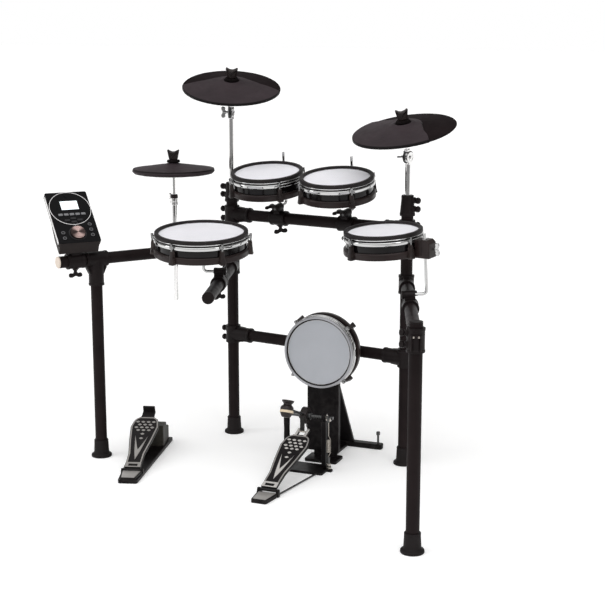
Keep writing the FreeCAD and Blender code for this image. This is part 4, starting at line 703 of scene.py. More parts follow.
case_brown = finish("case_plastic", (0.0120, 0.0080, 0.0074), 0.46, gloss=0.20, grain=1700.0,
                    wear=(0.035, 0.027, 0.023))
trim_silver = finish("silver_trim", (0.72, 0.71, 0.71), 0.24, metal=0.9, tone=0.06, grain_depth=0.00002)
key_grey = finish("key_caps", (0.17, 0.17, 0.178), 0.45, tone=0.08, grain=1500.0)
key_dark = finish("dark_keys", (0.020, 0.0195, 0.021), 0.40, gloss=0.2, tone=0.12, grain=1500.0)
beige = finish("plug_plastic", (0.72, 0.62, 0.53), 0.45, tone=0.06, grain=900.0)
dial_metal = spun_metal("dial_metal", (0.40, 0.285, 0.265), 0.26)
display = lit_screen("display_glass", (0.84, 0.92, 0.95), 0.75, 0.0009)


# Clamp parts and screws
right_side = (back_right - back_left).normalized()


def collared(shape, start, end, root=False):
    """Moulded clamp sleeve with a low collar at its ends; a root has none at its start."""
    length = (end - start).length
    near = [(sleeve.collar, 0), (sleeve.collar, sleeve.collar_width), (sleeve.radius, sleeve.collar_fall)]
    if root:
        near = [(sleeve.radius, 0)]
    far = [(sleeve.radius, length - sleeve.collar_fall), (sleeve.collar, length - sleeve.collar_width),
           (sleeve.collar, length)]
    outline = [(tube.seat, 0)] + near + far + [(tube.seat, length)]
    shape.lathe(outline, sleeve.edge, 0, along(start, end - start))


def grip_sleeve(shape, centre, way, run=sleeve.mount_run):
    collared(shape, centre - way * (run / 2), centre + way * (run / 2))


def boss(shape, centre, way):
    """Screw boss on a moulded square pad."""
    place = along(centre, way)
    shape.block(sleeve.pad_half, sleeve.pad_half, sleeve.pad_low, sleeve.pad_high, 0, place, sleeve.pad_edge)
    shape.disc(screw.boss, sleeve.pad_low, screw.reach, 0, place, screw.boss_edge)


def knob(shape, face, way):
    """Low domed hand knob with a fluted grip, close on its boss."""
    place = along(face, way)
    shape.rod((0, 0, 0), (0, 0, screw.knob_low + screw.sink), screw.stem, 0, place)
    grip = [(screw.knob * share, screw.knob_low + height) for share, height in screw.knob_outline]
    shape.lathe(grip, screw.knob_edge, 0, place, screw.knob_steps, screw.flutes, screw.flute_share)


def bolted(shape, centre, way):
    """Boss with its hand knob."""
    boss(shape, centre, way)
    knob(shape, centre + way * screw.reach, way)


def wing(shape, face, way, blade_way, size=wing_screw, finish=0):
    """Wing screw: a stem, and two rounded wings with a dip between them."""
    half, height, low = size.span / 2, size.height, screw.stem_length
    shape.rod((0, 0, 0), (0, 0, low + height / 2), size.width * screw.stem_share, finish, along(face, way))
    lobe = [(screw.stem, -screw.lobe_foot_share)] + [(half * out, rise) for out, rise in screw.lobe_shares]
    lobe = [(x, low + height * rise) for x, rise in lobe + [screw.lobe_dip]]
    outline = lobe + [(-x, y) for x, y in reversed(lobe)]
    shape.prism(outline, -size.width / 2, size.width / 2, finish, axes(face, blade_way, blade_way.cross(way)),
                size.width * screw.wing_edge_share, height * screw.wing_corner_share)


def gusset(shape, centre, way, lift, run):
    """Sloping web between a clamp's two sleeves."""
    profile = [(rib.near, rib.low), (rib.out, rib.low), (rib.fall, rib.fall_high),
               (rib.shoulder, run - rib.drop), (rib.near, run - rib.drop)]
    shape.prism(profile, -rib.half, rib.half, 0, axes(centre, way, way.cross(lift)), rib.edge, rib.corner)


def tee(shape, post, height, way, bolt_way, low_run=sleeve.post_run / 2):
    """T clamp round a post and the tube that leaves it, with its two knobs."""
    centre = post + UP * height
    high_run = sleeve.post_run / 2
    collared(shape, centre - UP * low_run, centre + UP * high_run)
    collared(shape, centre, centre + way * sleeve.arm_run, root=True)
    gusset(shape, centre, way, UP, high_run)
    gusset(shape, centre, way, -UP, low_run)
    for step in (screw.pitch / 2, -screw.pitch / 2):
        bolted(shape, centre + UP * step, bolt_way)


def tubes(name, body, runs, node, plug=None, plug_finish=moulding):
    """Rack tubes with rounded ends, and the plug of an open end."""
    shape = Shape()
    for start, end in runs:
        shape.ring(start, end, tube.radius, tube.bore, edge=tube.edge)
    if plug:
        shape.disc(tube.radius, 0, tube.plug, 1, along(*plug), tube.plug_edge, fine_steps)
    piece(name, shape, [satin, plug_finish], body, "tube_paint", stands_for=[node])


def boots(name, body, posts, node):
    """Rubber boots: a flange on the floor, a tapered body and a groove below the mouth."""
    socket_wall = [(tube.seat, boot.height), (tube.seat, boot.floor), (0, boot.floor)]
    shape = Shape()
    for post in posts:
        shape.lathe([*boot.outline, *socket_wall], boot.edge, 0, Matrix.Translation(post))
    piece(name, shape, [rubber], body, "foot_rubber", stands_for=[node])


# Rack
foot_seat = UP * boot.floor
seat = tube.seat
tubes("rack_tubes", "rack",
      [(post + foot_seat, post + UP * heights.post_end) for post in (back_left, back_right)]
      + [(back_left + UP * height + right_side * seat, back_right + UP * height - right_side * seat)
         for height in heights.bars], "back_frame")
boots("rack_boots", "rack", (back_left, back_right), "back_feet")
left_end = front_left + UP * heights.left + left_way * arm.left_over
tubes("left_arm_tube", "left_wing", [(back_left + UP * heights.left + left_way * seat, left_end)], "left_arm",
      (left_end, left_way), beige)
tubes("left_post_tube", "left_wing", [(front_left + foot_seat, front_left + UP * (heights.left - seat))],
      "left_post")
boots("left_boot", "left_wing", [front_left], "left_foot")
tubes("right_arm_tube", "right_wing", [(back_right + UP * heights.low + right_way * seat,
                                        front_right + UP * heights.low - right_way * seat)], "right_arm")
right_top = front_right + UP * heights.right_post
tubes("right_post_tube", "right_wing", [(front_right + foot_seat, right_top)], "right_post", (right_top, UP))
boots("right_boot", "right_wing", [front_right], "right_foot")
snare_end = back_left + UP * heights.low + snare_way * arm.snare
tubes("snare_arm_tube", "snare_swing", [(back_left + UP * heights.low + snare_way * seat, snare_end)],
      "snare_arm", (snare_end, snare_way))

fittings = Shape()
for post, way in ((back_left, right_side), (back_right, -right_side)):
    for height in heights.bars:
        tee(fittings, post, height, way, -way)
    fittings.lathe(top.outline, top.edge, 0, Matrix.Translation(post))
    for height in top.screws:
        bolted(fittings, post + UP * height, -way)
piece("rack_fittings", fittings, [moulding], "rack", "moulding", stands_for=["rack_clamps"])

fittings = Shape()
tee(fittings, back_left, heights.left, left_way, -left_way)
corner = front_left + UP * heights.left
grip_sleeve(fittings, corner, left_way, sleeve.arm_run)
collared(fittings, corner, corner - UP * sleeve.tall_run, root=True)
for lift in (left_way, -left_way):
    gusset(fittings, corner, -UP, lift, sleeve.arm_run / 2)
bolted(fittings, corner - UP * sleeve.post_run, hihat_way)
grip = back_left + UP * heights.left + left_way * hat.along
grip_sleeve(fittings, grip, left_way)
stem = grip + hihat_way * hat.side
stem_clear = stand.radius + hat.stem_gap
fittings.ring(stem - UP * hat.grip_half, stem + UP * hat.grip_half, hat.grip, stand.radius + mount.fit)
fittings.rod(grip + hihat_way * tube.seat, stem - hihat_way * stem_clear, mount.barrel)
fittings.rod(stem + hihat_way * stem_clear, stem + hihat_way * hat.grip_reach, screw.boss)
knob(fittings, stem + hihat_way * hat.grip_reach, hihat_way)
piece("left_fittings", fittings, [moulding], "left_wing", "moulding", stands_for=["left_clamps"])

fittings = Shape()
right_out = right_way.cross(UP)
tee(fittings, back_right, heights.low, right_way, -right_way)
tee(fittings, front_right, heights.low, -right_way, right_out, sleeve.post_run / 2 + sleeve.collar_width)
face_place = axes(front_right + UP * heights.low, right_out, UP)
fittings.block(ledge.half, ledge.deep, ledge.low, ledge.high, 0, face_place @ moved(0, ledge.out), ledge.edge)
for side in (-1, 1):
    fittings.block(ledge.rib, ledge.deep, ledge.rib_low, ledge.rib_high, 0,
                   face_place @ moved(side * ledge.rib_side, ledge.rib_out), ledge.rib_edge)
    head_place = face_place @ moved(side * ledge.screw_side, ledge.screw_out, ledge.screw_height)
    fittings.lathe(ledge.screw_outline, ledge.screw_edge, 1, head_place @ spun(-90, "X"), rod_steps)
piece("right_fittings", fittings, [moulding, steel], "right_wing", "moulding", stands_for=["right_clamps"])


# Drum mounts
def mount_parts(shape, centre, way, side, lift):
    """Clamp on a tube with its cross barrel, knuckle disc and two wing screws."""
    barrel = centre + lift * mount.lift
    half = mount.half
    grip_sleeve(shape, centre, way)
    web = [(-half, mount.web_low), (half, mount.web_low), (mount.web_top, mount.lift),
           (-mount.web_top, mount.lift)]
    shape.prism(web, -mount.web, mount.web, 0, axes(centre, side, side.cross(lift)), mount.web_edge,
                mount.web_corner)
    shape.ring(barrel - side * half, barrel + side * half, mount.barrel, mount.rod + mount.fit)
    knuckle = along(barrel - side * half, -side)
    shape.lathe(mount.knuckle_outline, mount.knuckle_edge, 0, knuckle, screw.knob_steps)
    shape.disc(mount.screw_head, mount.screw_low, mount.screw_high, 2, knuckle)
    shape.rod(barrel, barrel - way * mount.boss_reach, screw.boss)
    boss(shape, centre, -lift)
    wing(shape, centre - lift * screw.reach, -lift, (way + side).normalized())
    wing(shape, barrel - way * mount.boss_reach, -way, side)


def bent_rod(shape, centre, side, lift, rod_way, height, finish):
    """L-shaped rod from the barrel up beside the drum."""
    barrel = centre + lift * mount.lift
    start = barrel - side * mount.tail
    turn = barrel + side * mount.offset
    end = turn + rod_way * (height - mount.lift)
    run = [start] + bend(start, turn, end, mount.bend) + [end - rod_way * mount.end_gap]
    shape.hose(run, mount.rod, finish)


def hung_mount(name):
    """Mount of a drum that tilts round the tube it hangs on."""
    centre = joint_point(name + "_tilt")
    way = joint_axis(name + "_tilt")
    drum_way = joint_axis(name + "_height")
    lift = (drum_way - way * drum_way.dot(way)).normalized()
    side = lift.cross(way)
    shape = Shape()
    mount_parts(shape, centre, way, side, lift)
    bent_rod(shape, centre, side, lift, drum_way, mount.rod_heights[name], 1)
    piece(name + "_holder", shape, [moulding, hoop_plate, dark_steel], name + "_mount", "moulding",
          stands_for=[name + "_mount"])


for name in ("tom_1", "tom_2", "floor_tom"):
    hung_mount(name)
snare_centre = joint_point("snare_roll") - UP * mount.lift
fittings = Shape()
mount_parts(fittings, snare_centre, snare_way, snare_side, UP)
tee(fittings, back_left, heights.low, snare_way, -snare_way)
piece("snare_fittings", fittings, [moulding, hoop_plate, dark_steel], "snare_swing", "moulding",
      stands_for=["snare_clamps"])
fittings = Shape()
bent_rod(fittings, snare_centre, snare_side, UP, joint_axis("snare_height"), mount.rod_heights["snare"], 0)
piece("snare_holder", fittings, [hoop_plate], "snare_rod", "chrome", stands_for=["snare_rod"])


# Drum pads
def drum_place(name, radius):
    """Axes of a drum: Z up from its base, X towards its mount block."""
    z_way = joint_axis(name + "_height")
    base = middle(name + "_head") - z_way * pad.head
    far = Vector()
    for vertex in frame["nodes"][name + "_shell"].data.vertices:
        out = vertex.co - base
        out -= z_way * out.dot(z_way)
        if out.length > radius + pad.far:
            far += out
    return axes(base, far.normalized(), z_way)


def drum_rings(shape, radius, rings):
    """Rings of a drum, from rows of finish, rounding and (distance from the radius, height) points."""
    for finish, edge, outline in rings:
        shape.lathe([(radius + out, height) for out, height in outline], edge, finish)


def drum_shell(shape, radius):
    """Gloss wall, base ring, floor and cable socket."""
    drum_rings(shape, radius, shell_rings)
    shape.disc(radius - pad.floor_gap, pad.floor_low, pad.floor_high, 1, HERE, pad.floor_edge, fine_steps)
    shape.ring((0, 0, socket.low), (0, 0, socket.high), socket.radius, socket.bore, 2,
               moved(socket.inset - radius), steps=rod_steps)


def drum_block(shape, radius):
    """Mount block with its chamfered top, a clamp slit and a chrome wing nut."""
    profile = [(radius + out, height) for out, height in block.outline]
    shape.prism(profile, -block.half, block.half, 1, axes(Vector(), X_WAY, -Y_WAY), block.edge, block.corner)
    slit = radius + block.slit_place
    shape.block(block.slit, block.slit_half, block.slit_low, block.slit_top, 2, moved(slit), block.slit_edge)
    shape.ring((slit, 0, block.collar_low), (slit, 0, block.collar_top), block.collar, block.collar_bore, 3,
               steps=rod_steps)
    wing(shape, Vector((radius + block.reach, 0, block.nut_height)), X_WAY, UP, wing_nut, 3)


def lug_casing(radius):
    """Rings of a tapered casing with three ridges."""
    rings = []
    for share, swell in lug.swell_shares:
        height = lug.foot + (lug.top - lug.foot) * share
        half = (lug.foot_half + (lug.top_half - lug.foot_half) * share) * swell
        depth = (lug.foot_depth + (lug.top_depth - lug.foot_depth) * share) * swell
        ridged = lug.ridge_shares[0] < share < lug.ridge_shares[1]
        ridge = lug.ridge * math.sin(math.pi * min(1.0, share * lug.ridge_stretch)) if ridged else 0.0
        out = radius + pad.lip + depth
        front = [[out - (ridge if spot % 2 else 0), half * (spot / 3 - 1)] for spot in range(7)]
        for spot in (0, -1):
            front[spot][0] -= lug.bevel
        near = radius - lug.sink
        rings.append([(x, y, height) for x, y in [(near, -half), *front, (near, half)]])
    return rings


def drum_lugs(shape, radius, count, start):
    """Lug casings, and above each a tension rod, a claw and a hexagon nut."""
    centre = radius + pad.lip + lug.rod_out
    claw = [(radius + out, -half) for out, half in lug.claw]
    claw += [(x, -y) for x, y in reversed(claw)]
    for step in range(count):
        place = spun(start + step * 360 / count)
        shape.rings(lug_casing(radius), 0, place)
        shape.rod((centre, 0, lug.rod_low), (centre, 0, lug.rod_high), lug.rod, 1, place)
        shape.prism(claw, lug.claw_low, lug.claw_high, 1, place, lug.claw_edge, lug.claw_corner)
        shape.disc(lug.nut, lug.nut_low, lug.nut_high, 1, place @ moved(centre), lug.nut_edge, hex_sides)


def drum_head(name, body, radius, place, finish, slot):
    """Stretched mesh head, one thin sheet."""
    reach = radius - pad.inset
    shape = Shape()
    rows = [[(0, 0, pad.skin)]]
    turns = [2 * math.pi * step / fine_steps for step in range(fine_steps)]
    for share in pad.head_shares:
        out, height = reach * share, pad.skin - pad.dish * (1 - share)
        rows.append([(out * math.cos(turn), out * math.sin(turn), height) for turn in turns])
    points = [[shape.mesh.verts.new(point) for point in row] for row in rows]
    for first, second in zip(points, points[1:]):
        shape.skin(first, second, 0)
    made = piece(name + "_skin", shape, [finish], body, slot, place, [name + "_head"])


def drum(name, radius, count, start, place=None):
    """Shell, hoop, lugs and head of a pad; the kick pad, which comes with its place, has no block."""
    kick = place is not None
    place = place if kick else drum_place(name, radius)
    body = "rack" if kick else name
    mesh, slot = (grey_mesh, "grey_mesh") if kick else (white_mesh, "white_mesh")
    shell, hoop, lugs = Shape(), Shape(), Shape()
    drum_shell(shell, radius)
    if not kick:
        drum_block(shell, radius)
    piece(name + "_drum", shell, [gloss_black, base_brown, moulding] + ([] if kick else [hoop_plate]), body,
          "shell_plastic", place, [name + "_shell"])
    drum_rings(hoop, radius, hoop_rings + (bare_rim if kick else rubber_rim))
    piece(name + "_rim", hoop, [hoop_plate, gloss_black, rim_rubber] + ([bare_plate] if kick else []), body,
          "hoop_metal", place, [name + "_hoop"])
    drum_lugs(lugs, radius, count, start)
    piece(name + "_tension", lugs, [casing, claw_plate], body, "lug_metal", place,
          [name + ("_hoop" if kick else "_lugs")])
    drum_head(name, body, radius, place, mesh, slot)


drum("tom_1", pad.small, 4, 41)
drum("tom_2", pad.small, 4, 41)
drum("floor_tom", pad.small, 4, -17)
drum("snare", pad.large, 6, 25)
kick_x = -joint_axis("kick_pedal_press")
kick_y = UP.cross(kick_x)
kick_centre = middle("kick_head")
drum("kick", pad.small, 4, 42, axes(kick_centre + kick_y * pad.head, kick_x, -kick_y))


# Cymbals and the hi-hat
def sampled(points, steps=6):
    """Smooth run through (radius, height) points."""
    fine = []
    for place in range(len(points) - 1):
        ends = [Vector(points[max(0, min(len(points) - 1, place + shift))]) for shift in (-1, 0, 1, 2)]
        for step in range(steps):
            t = step / steps
            run = (ends[1] * 2 + (ends[2] - ends[0]) * t
                   + (ends[0] * 2 - ends[1] * 5 + ends[2] * 4 - ends[3]) * t * t
                   + (ends[1] * 3 - ends[0] - ends[2] * 3 + ends[3]) * t * t * t) / 2
            fine.append(tuple(run))
    return fine + [tuple(points[-1])]


def topper_parts(shape, hub, place):
    """Fishtail nut: a felt washer and a tail with a rounded foot that spreads towards its dipped top."""
    low = hub + topper.gap
    shape.lathe([(radius, low + height) for radius, height in topper.washer], topper.washer_edge, 1, place)
    high = topper.base_height + topper.height
    dip_shares = [step / 4 - 1 for step in range(9)]
    dips = [(-topper.dip_half * share, high - topper.dip * (1 - share ** 2)) for share in dip_shares]
    tail = [*topper.flank, *dips, *[(-x, y) for x, y in reversed(topper.flank)]]
    shape.prism([(x, low + y) for x, y in tail], -topper.depth / 2, topper.depth / 2, 2,
                place @ spun(90, "X"), topper.tail_edge, topper.tail_corner)


def seat_parts(shape, hub, place):
    """Felt seat below a pad."""
    high = -hub - topper.gap
    shape.lathe([(radius, high - down) for radius, down in topper.seat], topper.seat_edge, 1, place)


def pad_parts(shape, radius, drop, edge, hub, finish):
    """Moulded rubber pad: a flat hub, a bow that falls away to the rim, and a darker edge band."""
    bell = cymbal.bell
    run = radius - edge / 3 - bell
    bell_top = hub - cymbal.hub_step
    bow = [(bell + run * share, bell_top - (bell_top + drop) * share ** cymbal.bow_power)
           for share in cymbal.bow_shares]
    upper = [(out, hub - down) for out, down in cymbal.hub_outline] + bow
    rim = [(radius - out - edge * in_share, -drop - edge * down_share)
           for out, in_share, down_share in cymbal.rim_shares]
    below = [(radius * 0.5, -(hub + drop + edge) * 0.5), (bell, -hub), (cymbal.bore, -hub)]
    shape.lathe(sampled(upper) + sampled(rim[:3], 4) + [rim[3]] + below, 0, finish)
    band = [(radius - out - edge * in_share, -drop - edge * down_share)
            for out, in_share, down_share in cymbal.band_shares]
    shape.lathe(band, 0, 1)


def bow_height(radius):
    """Height of a cymbal's bow at a distance from its centre, with the low swell of its bell."""
    fall = cymbal.radius - cymbal.edge / 3 - cymbal.bell
    share = max(0.0, min(1.0, (radius - cymbal.bell) / fall))
    swell = max(0.0, min(1.0, (cymbal.bell_foot - radius) / (cymbal.bell_foot - cymbal.ring)))
    bell = cymbal.bell_rise * swell * swell * (3 - 2 * swell)
    bell_top = cymbal.hub - cymbal.hub_step
    return bell_top + bell - (bell_top + cymbal.drop) * share ** cymbal.bow_power


def zone_reach(turn):
    """Reach of the striking pad at an angle from its middle."""
    turns, reaches = cymbal.zone_turns, cymbal.zone_reaches
    for first, last, near, far in zip(turns, turns[1:], reaches, reaches[1:]):
        if first <= turn <= last:
            return near + (far - near) * (turn - first) / (last - first)
    return reaches[0]


def strike_zone(shape, middle_turn, steps=240):
    """Raised rubber pad over the front of a cymbal, with a tongue round the bell and a thick dark edge."""
    inner, rise, sink = cymbal.zone_inner, cymbal.zone_rise, cymbal.zone_sink
    rim_foot = -cymbal.drop - cymbal.edge * cymbal.foot_share
    shares = [(spot / cymbal.zone_spots) ** cymbal.zone_power for spot in range(cymbal.zone_spots + 1)]
    rows = []
    for step in range(steps):
        turn = 360 * step / steps - 180
        reach = zone_reach(abs(turn))
        foot = rim_foot if reach >= cymbal.radius else bow_height(reach) - sink
        flat = [inner + sink + (reach - inner - 2 * sink) * share for share in shares]
        profile = [(inner, bow_height(inner) - sink)]
        profile += [(inner + cymbal.zone_lean, bow_height(inner) + rise * cymbal.lean_share)]
        profile += [(radius, bow_height(radius) + rise) for radius in flat]
        profile += [(reach - cymbal.zone_bevel, bow_height(reach) + rise * cymbal.bevel_share),
                    (reach, bow_height(reach) + rise * cymbal.brink_share), (reach, foot)]
        angle = math.radians(middle_turn + turn)
        rows.append([shape.mesh.verts.new((r * math.cos(angle), r * math.sin(angle), z)) for r, z in profile])
    for first, second in zip(rows, rows[1:] + rows[:1]):
        count = len(first)
        for spot in range(count):
            after = (spot + 1) % count
            wall = spot >= count - 4
            shape.face([first[spot], first[after], second[after], second[spot]], 1 if wall else 0)


def cymbal_stand(name, zone_turn, topper_turn, blade_way):
    """Cymbal pad, its tube with the lower half of the tilter, and the upper half with pin and topper."""
    zone_turn = math.radians(zone_turn)
    pivot = joint_point(name + "_tilt")
    centre = joint_point(name + "_rock")
    axis = joint_axis(name + "_tilt")
    normal = (centre - pivot).normalized()
    place = axes(centre, axis, normal)
    flat_place = level(centre, normal)
    turned = place.to_3x3() @ Vector((math.cos(zone_turn), math.sin(zone_turn), 0))
    front = flat_place.inverted().to_3x3() @ turned
    shape = Shape()
    pad_parts(shape, cymbal.radius, cymbal.drop, cymbal.edge, cymbal.hub, 2)
    strike_zone(shape, math.degrees(math.atan2(front.y, front.x)))
    piece(name + "_cymbal", shape, [pad_rubber, edge_rubber, bow_plastic], name + "_pad", "cymbal_rubber",
          flat_place, [name + "_pad"])

    upright = axes(pivot, axis, UP)
    lower, upper = Shape(), Shape()
    clear = tilter.radius + tilter.clear
    neck = (tilter.neck_low, clear + tilter.neck_sink)
    for shape, lean, sense, tone, (low, high) in ((lower, upright, 1, 0, (-neck[1], -neck[0])),
                                                  (upper, axes(pivot, axis, normal), -1, 3, neck)):
        shape.lathe(tilter.outline, tilter.edge, tone, lean @ spun(90 * sense, "Y"), 6 * tilter.teeth,
                    tilter.teeth, tilter.tooth_share)
        shape.block(tilter.neck_half, tilter.neck, low, high, tone, lean @ moved(sense * tilter.width / 2),
                    tilter.neck_edge)
    tail = Vector((pivot.x, pivot.y, 0)) + UP * (heights.post - stand.tail)
    head = pivot - UP * clear
    lower.ring(tail, head, stand.radius, stand.radius - stand.wall, edge=tube.edge)
    lower.rod(head - UP * stand.cap, head, stand.radius - stand.cap_gap)
    lower.disc(tilter.pin, tilter.pin_low, tilter.pin_high, 0, upright @ spun(90, "Y"), tilter.pin_edge,
               hex_sides)
    piece(name + "_post", lower, [chrome], name + "_tube", "chrome", stands_for=[name + "_tube"])
    low = clear - (centre - pivot).length
    upper.rod((0, 0, low), (0, 0, low + stand.foot), stand.radius, 0, place)
    upper.rod((0, 0, low + stand.foot_sink), (0, 0, cymbal.hub + topper.pin_top), topper.pin, 0, place)
    wing(upper, pivot - axis * (tilter.width + tilter.gap), -axis, blade_way, wing_nut, 4)
    seat_parts(upper, cymbal.hub, place)
    topper_parts(upper, cymbal.hub, place @ spun(topper_turn))
    piece(name + "_ratchet", upper, [chrome, felt, casing, dark_steel, hoop_plate], name + "_tilter",
          "chrome", stands_for=[name + "_tilter"])


cymbal_stand("crash", 259, -8, UP)
cymbal_stand("ride", 248, 40, joint_axis("ride_tilt").cross(UP))

hat_centre = joint_point("hihat_rock")
hat_place = axes(hat_centre, X_WAY, UP)
shape = Shape()
pad_parts(shape, hat.radius, hat.drop, hat.edge, hat.hub, 0)
piece("hihat_cymbal", shape, [pad_rubber, edge_rubber], "hihat_pad", "cymbal_rubber", hat_place,
      ["hihat_pad"])
shape = Shape()
clutch = hihat_spot + UP * hat.tube_top
shape.ring(hihat_spot + UP * hat.tube_low, clutch, stand.radius, hat.rod + mount.fit, edge=tube.edge)
piece("hihat_post", shape, [chrome], "hihat_tube", "chrome", stands_for=["hihat_tube"])
shape = Shape()
seat_low = hat_centre - UP * (hat.hub + topper.gap + topper.seat_height)
shape.rod(clutch - UP * hat.rod_sink, seat_low, hat.rod)
shape.lathe(hat.clutch_outline, hat.clutch_edge, 0, Matrix.Translation(clutch))
shape.lathe(hat.collar_outline, hat.collar_edge, 2, Matrix.Translation(clutch))
wing(shape, clutch + UP * (hat.clutch / 2) + hihat_way * hat.clutch_radius, hihat_way, UP, wing_nut)
shape.rod(seat_low, hat_centre + UP * (hat.hub + topper.pin_top), topper.pin)
seat_parts(shape, hat.hub, hat_place)
topper_parts(shape, hat.hub, hat_place @ spun(hat.topper_turn))
piece("hihat_stem", shape, [chrome, felt, casing], "hihat_rod", "chrome", stands_for=["hihat_rod"])

# Kick tower
tower_place = axes(kick_centre * Vector((1, 1, 0)) - kick_y * (tower.front - pad.head), kick_x, UP)
shape = Shape()
half, front, plate = tower.half, tower.front, tower.plate
rear = front + plate
deep = rear + tower.flange
channel = [(-half, deep), (-half, front), (half, front), (half, deep), (half - plate, deep),
           (half - plate, rear), (-half + plate, rear), (-half + plate, deep)]
shape.prism(channel, tower.foot_gap, tower.top, 0, tower_place @ moved(tower.side), tower.edge, tower.corner)
shape.block(half - plate + tower.side, plate / 2, tower.base_height - tower.sink, tower.foot_gap + plate, 0,
            tower_place @ moved(0, front + plate / 2), tower.neck_edge)
base_half_length = (tower.base_rear - tower.base_front) / 2
shape.prism(oblong(tower.base_half, base_half_length, tower.base_corner), 0, tower.base_height, 0,
            tower_place @ moved(0, tower.base_front + base_half_length), tower.base_edge)
foot_front = rear + tower.brace_reach - plate
brace_near, brace_far = rear - tower.sink, rear + tower.brace_reach
brace_foot = tower.foot_height - tower.sink
brace = [(brace_near + tower.brace_sheet, tower.brace_top), (brace_far + tower.brace_sheet, brace_foot),
         (brace_far, brace_foot), (brace_near, tower.brace_top)]
shape.prism(brace, -tower.brace_half, tower.brace_half, 0, tower_place @ ACROSS, tower.edge,
            tower.brace_corner)
foot_middle = foot_front + tower.foot_width / 2
shape.prism(oblong(tower.foot_half, tower.foot_width / 2, tower.foot_corner), 0, tower.foot_height, 0,
            tower_place @ moved(0, foot_middle), tower.foot_edge)
tie_half = (foot_front + tower.sink - tower.tie_front) / 2
shape.block(tower.brace_half / 2, tie_half, 0, tower.base_height, 0,
            tower_place @ moved(0, tower.tie_front + tie_half), tower.tie_edge)
for side in (-1, 1):
    stud = tower_place @ moved(side * (tower.foot_half - tower.stud_inset), foot_middle, tower.foot_height)
    shape.rod((0, 0, -tower.sink), (0, 0, tower.stud_height + tower.stud_sink), tower.stud, 1, stud)
    shape.disc(tower.stud_knob, tower.stud_height, tower.stud_top, 1, stud, tower.stud_edge,
               tower.stud_steps, tower.flutes, tower.flute_share)
    for height in tower.bolt_heights:
        bolt = tower_place @ moved(tower.side + side * tower.bolt_side, rear, height) @ spun(-90, "X")
        shape.lathe(tower.bolt_outline, tower.bolt_edge, 1, bolt, rod_steps)
piece("kick_stand", shape, [sheet_black, dark_steel], "rack", "pedal_paint", stands_for=["kick_tower"])

# Pedals
board_slope = math.degrees(math.atan2(board.rise, board.run))
board_length = math.hypot(board.rise, board.run)


def pedal_axes(joint, hinge_line):
    """Axes of a pedal on the floor, Y away from the player."""
    x_way = -joint_axis(joint)
    y_way = UP.cross(x_way)
    origin = joint_point(joint) - y_way * hinge_line
    return axes(Vector((origin.x, origin.y, 0)), x_way, UP)


def strip(shape, outline, width, low, high, finish, place):
    """Raised band that follows an outline on its inner side."""
    inner = inset(outline, width)
    shape.rings([[(x, y, low) for x, y in outline], [(x, y, high) for x, y in outline],
                 [(x, y, high) for x, y in inner], [(x, y, low) for x, y in inner]], finish, place,
                closed=True)


def heel_parts(shape, front, rear, height, place):
    """Tapered heel plate, its bare silver field, the hinge ears and the pin."""
    plan = soften([(-heel.front_half, front), (heel.front_half, front), (heel.rear_half, rear),
                   (-heel.rear_half, rear)], heel.corner)
    shape.prism(plan, 0, height, 0, place, heel.edge)
    shape.prism(inset(plan, heel.margin), height - heel.sink, height + heel.rise, 1, place, heel.field_edge)
    centre = rear + heel.hinge
    ear = [(rear - heel.ear_sink, 0), *[(centre + out, high) for out, high in heel.ear_outline],
           (rear - heel.ear_sink, height - heel.ear_fall)]
    for side in (-1, 1):
        middle_x = side * heel.ear_side
        shape.prism(ear, middle_x - heel.ear_half, middle_x + heel.ear_half, 0, place @ ACROSS, heel.ear_edge,
                    heel.ear_corner)
    pin = (heel.pin_half, centre, pedal.hinge_height)
    shape.rod((-heel.pin_half, *pin[1:]), pin, heel.pin, 0, place)


def dot(shape, place):
    """Raised grip stud with four soft corners."""
    outline = [(-board.dot, 0), (0, -board.dot_deep), (board.dot, 0), (0, board.dot_deep)]
    shape.prism(outline, board.inlay_low, board.dot_high, 2, place, board.dot_edge, board.dot_corner)


def mirrored(points):
    """Outline from its right half, which runs upwards."""
    return [*points, *[(-x, y) for x, y in reversed(points)]]


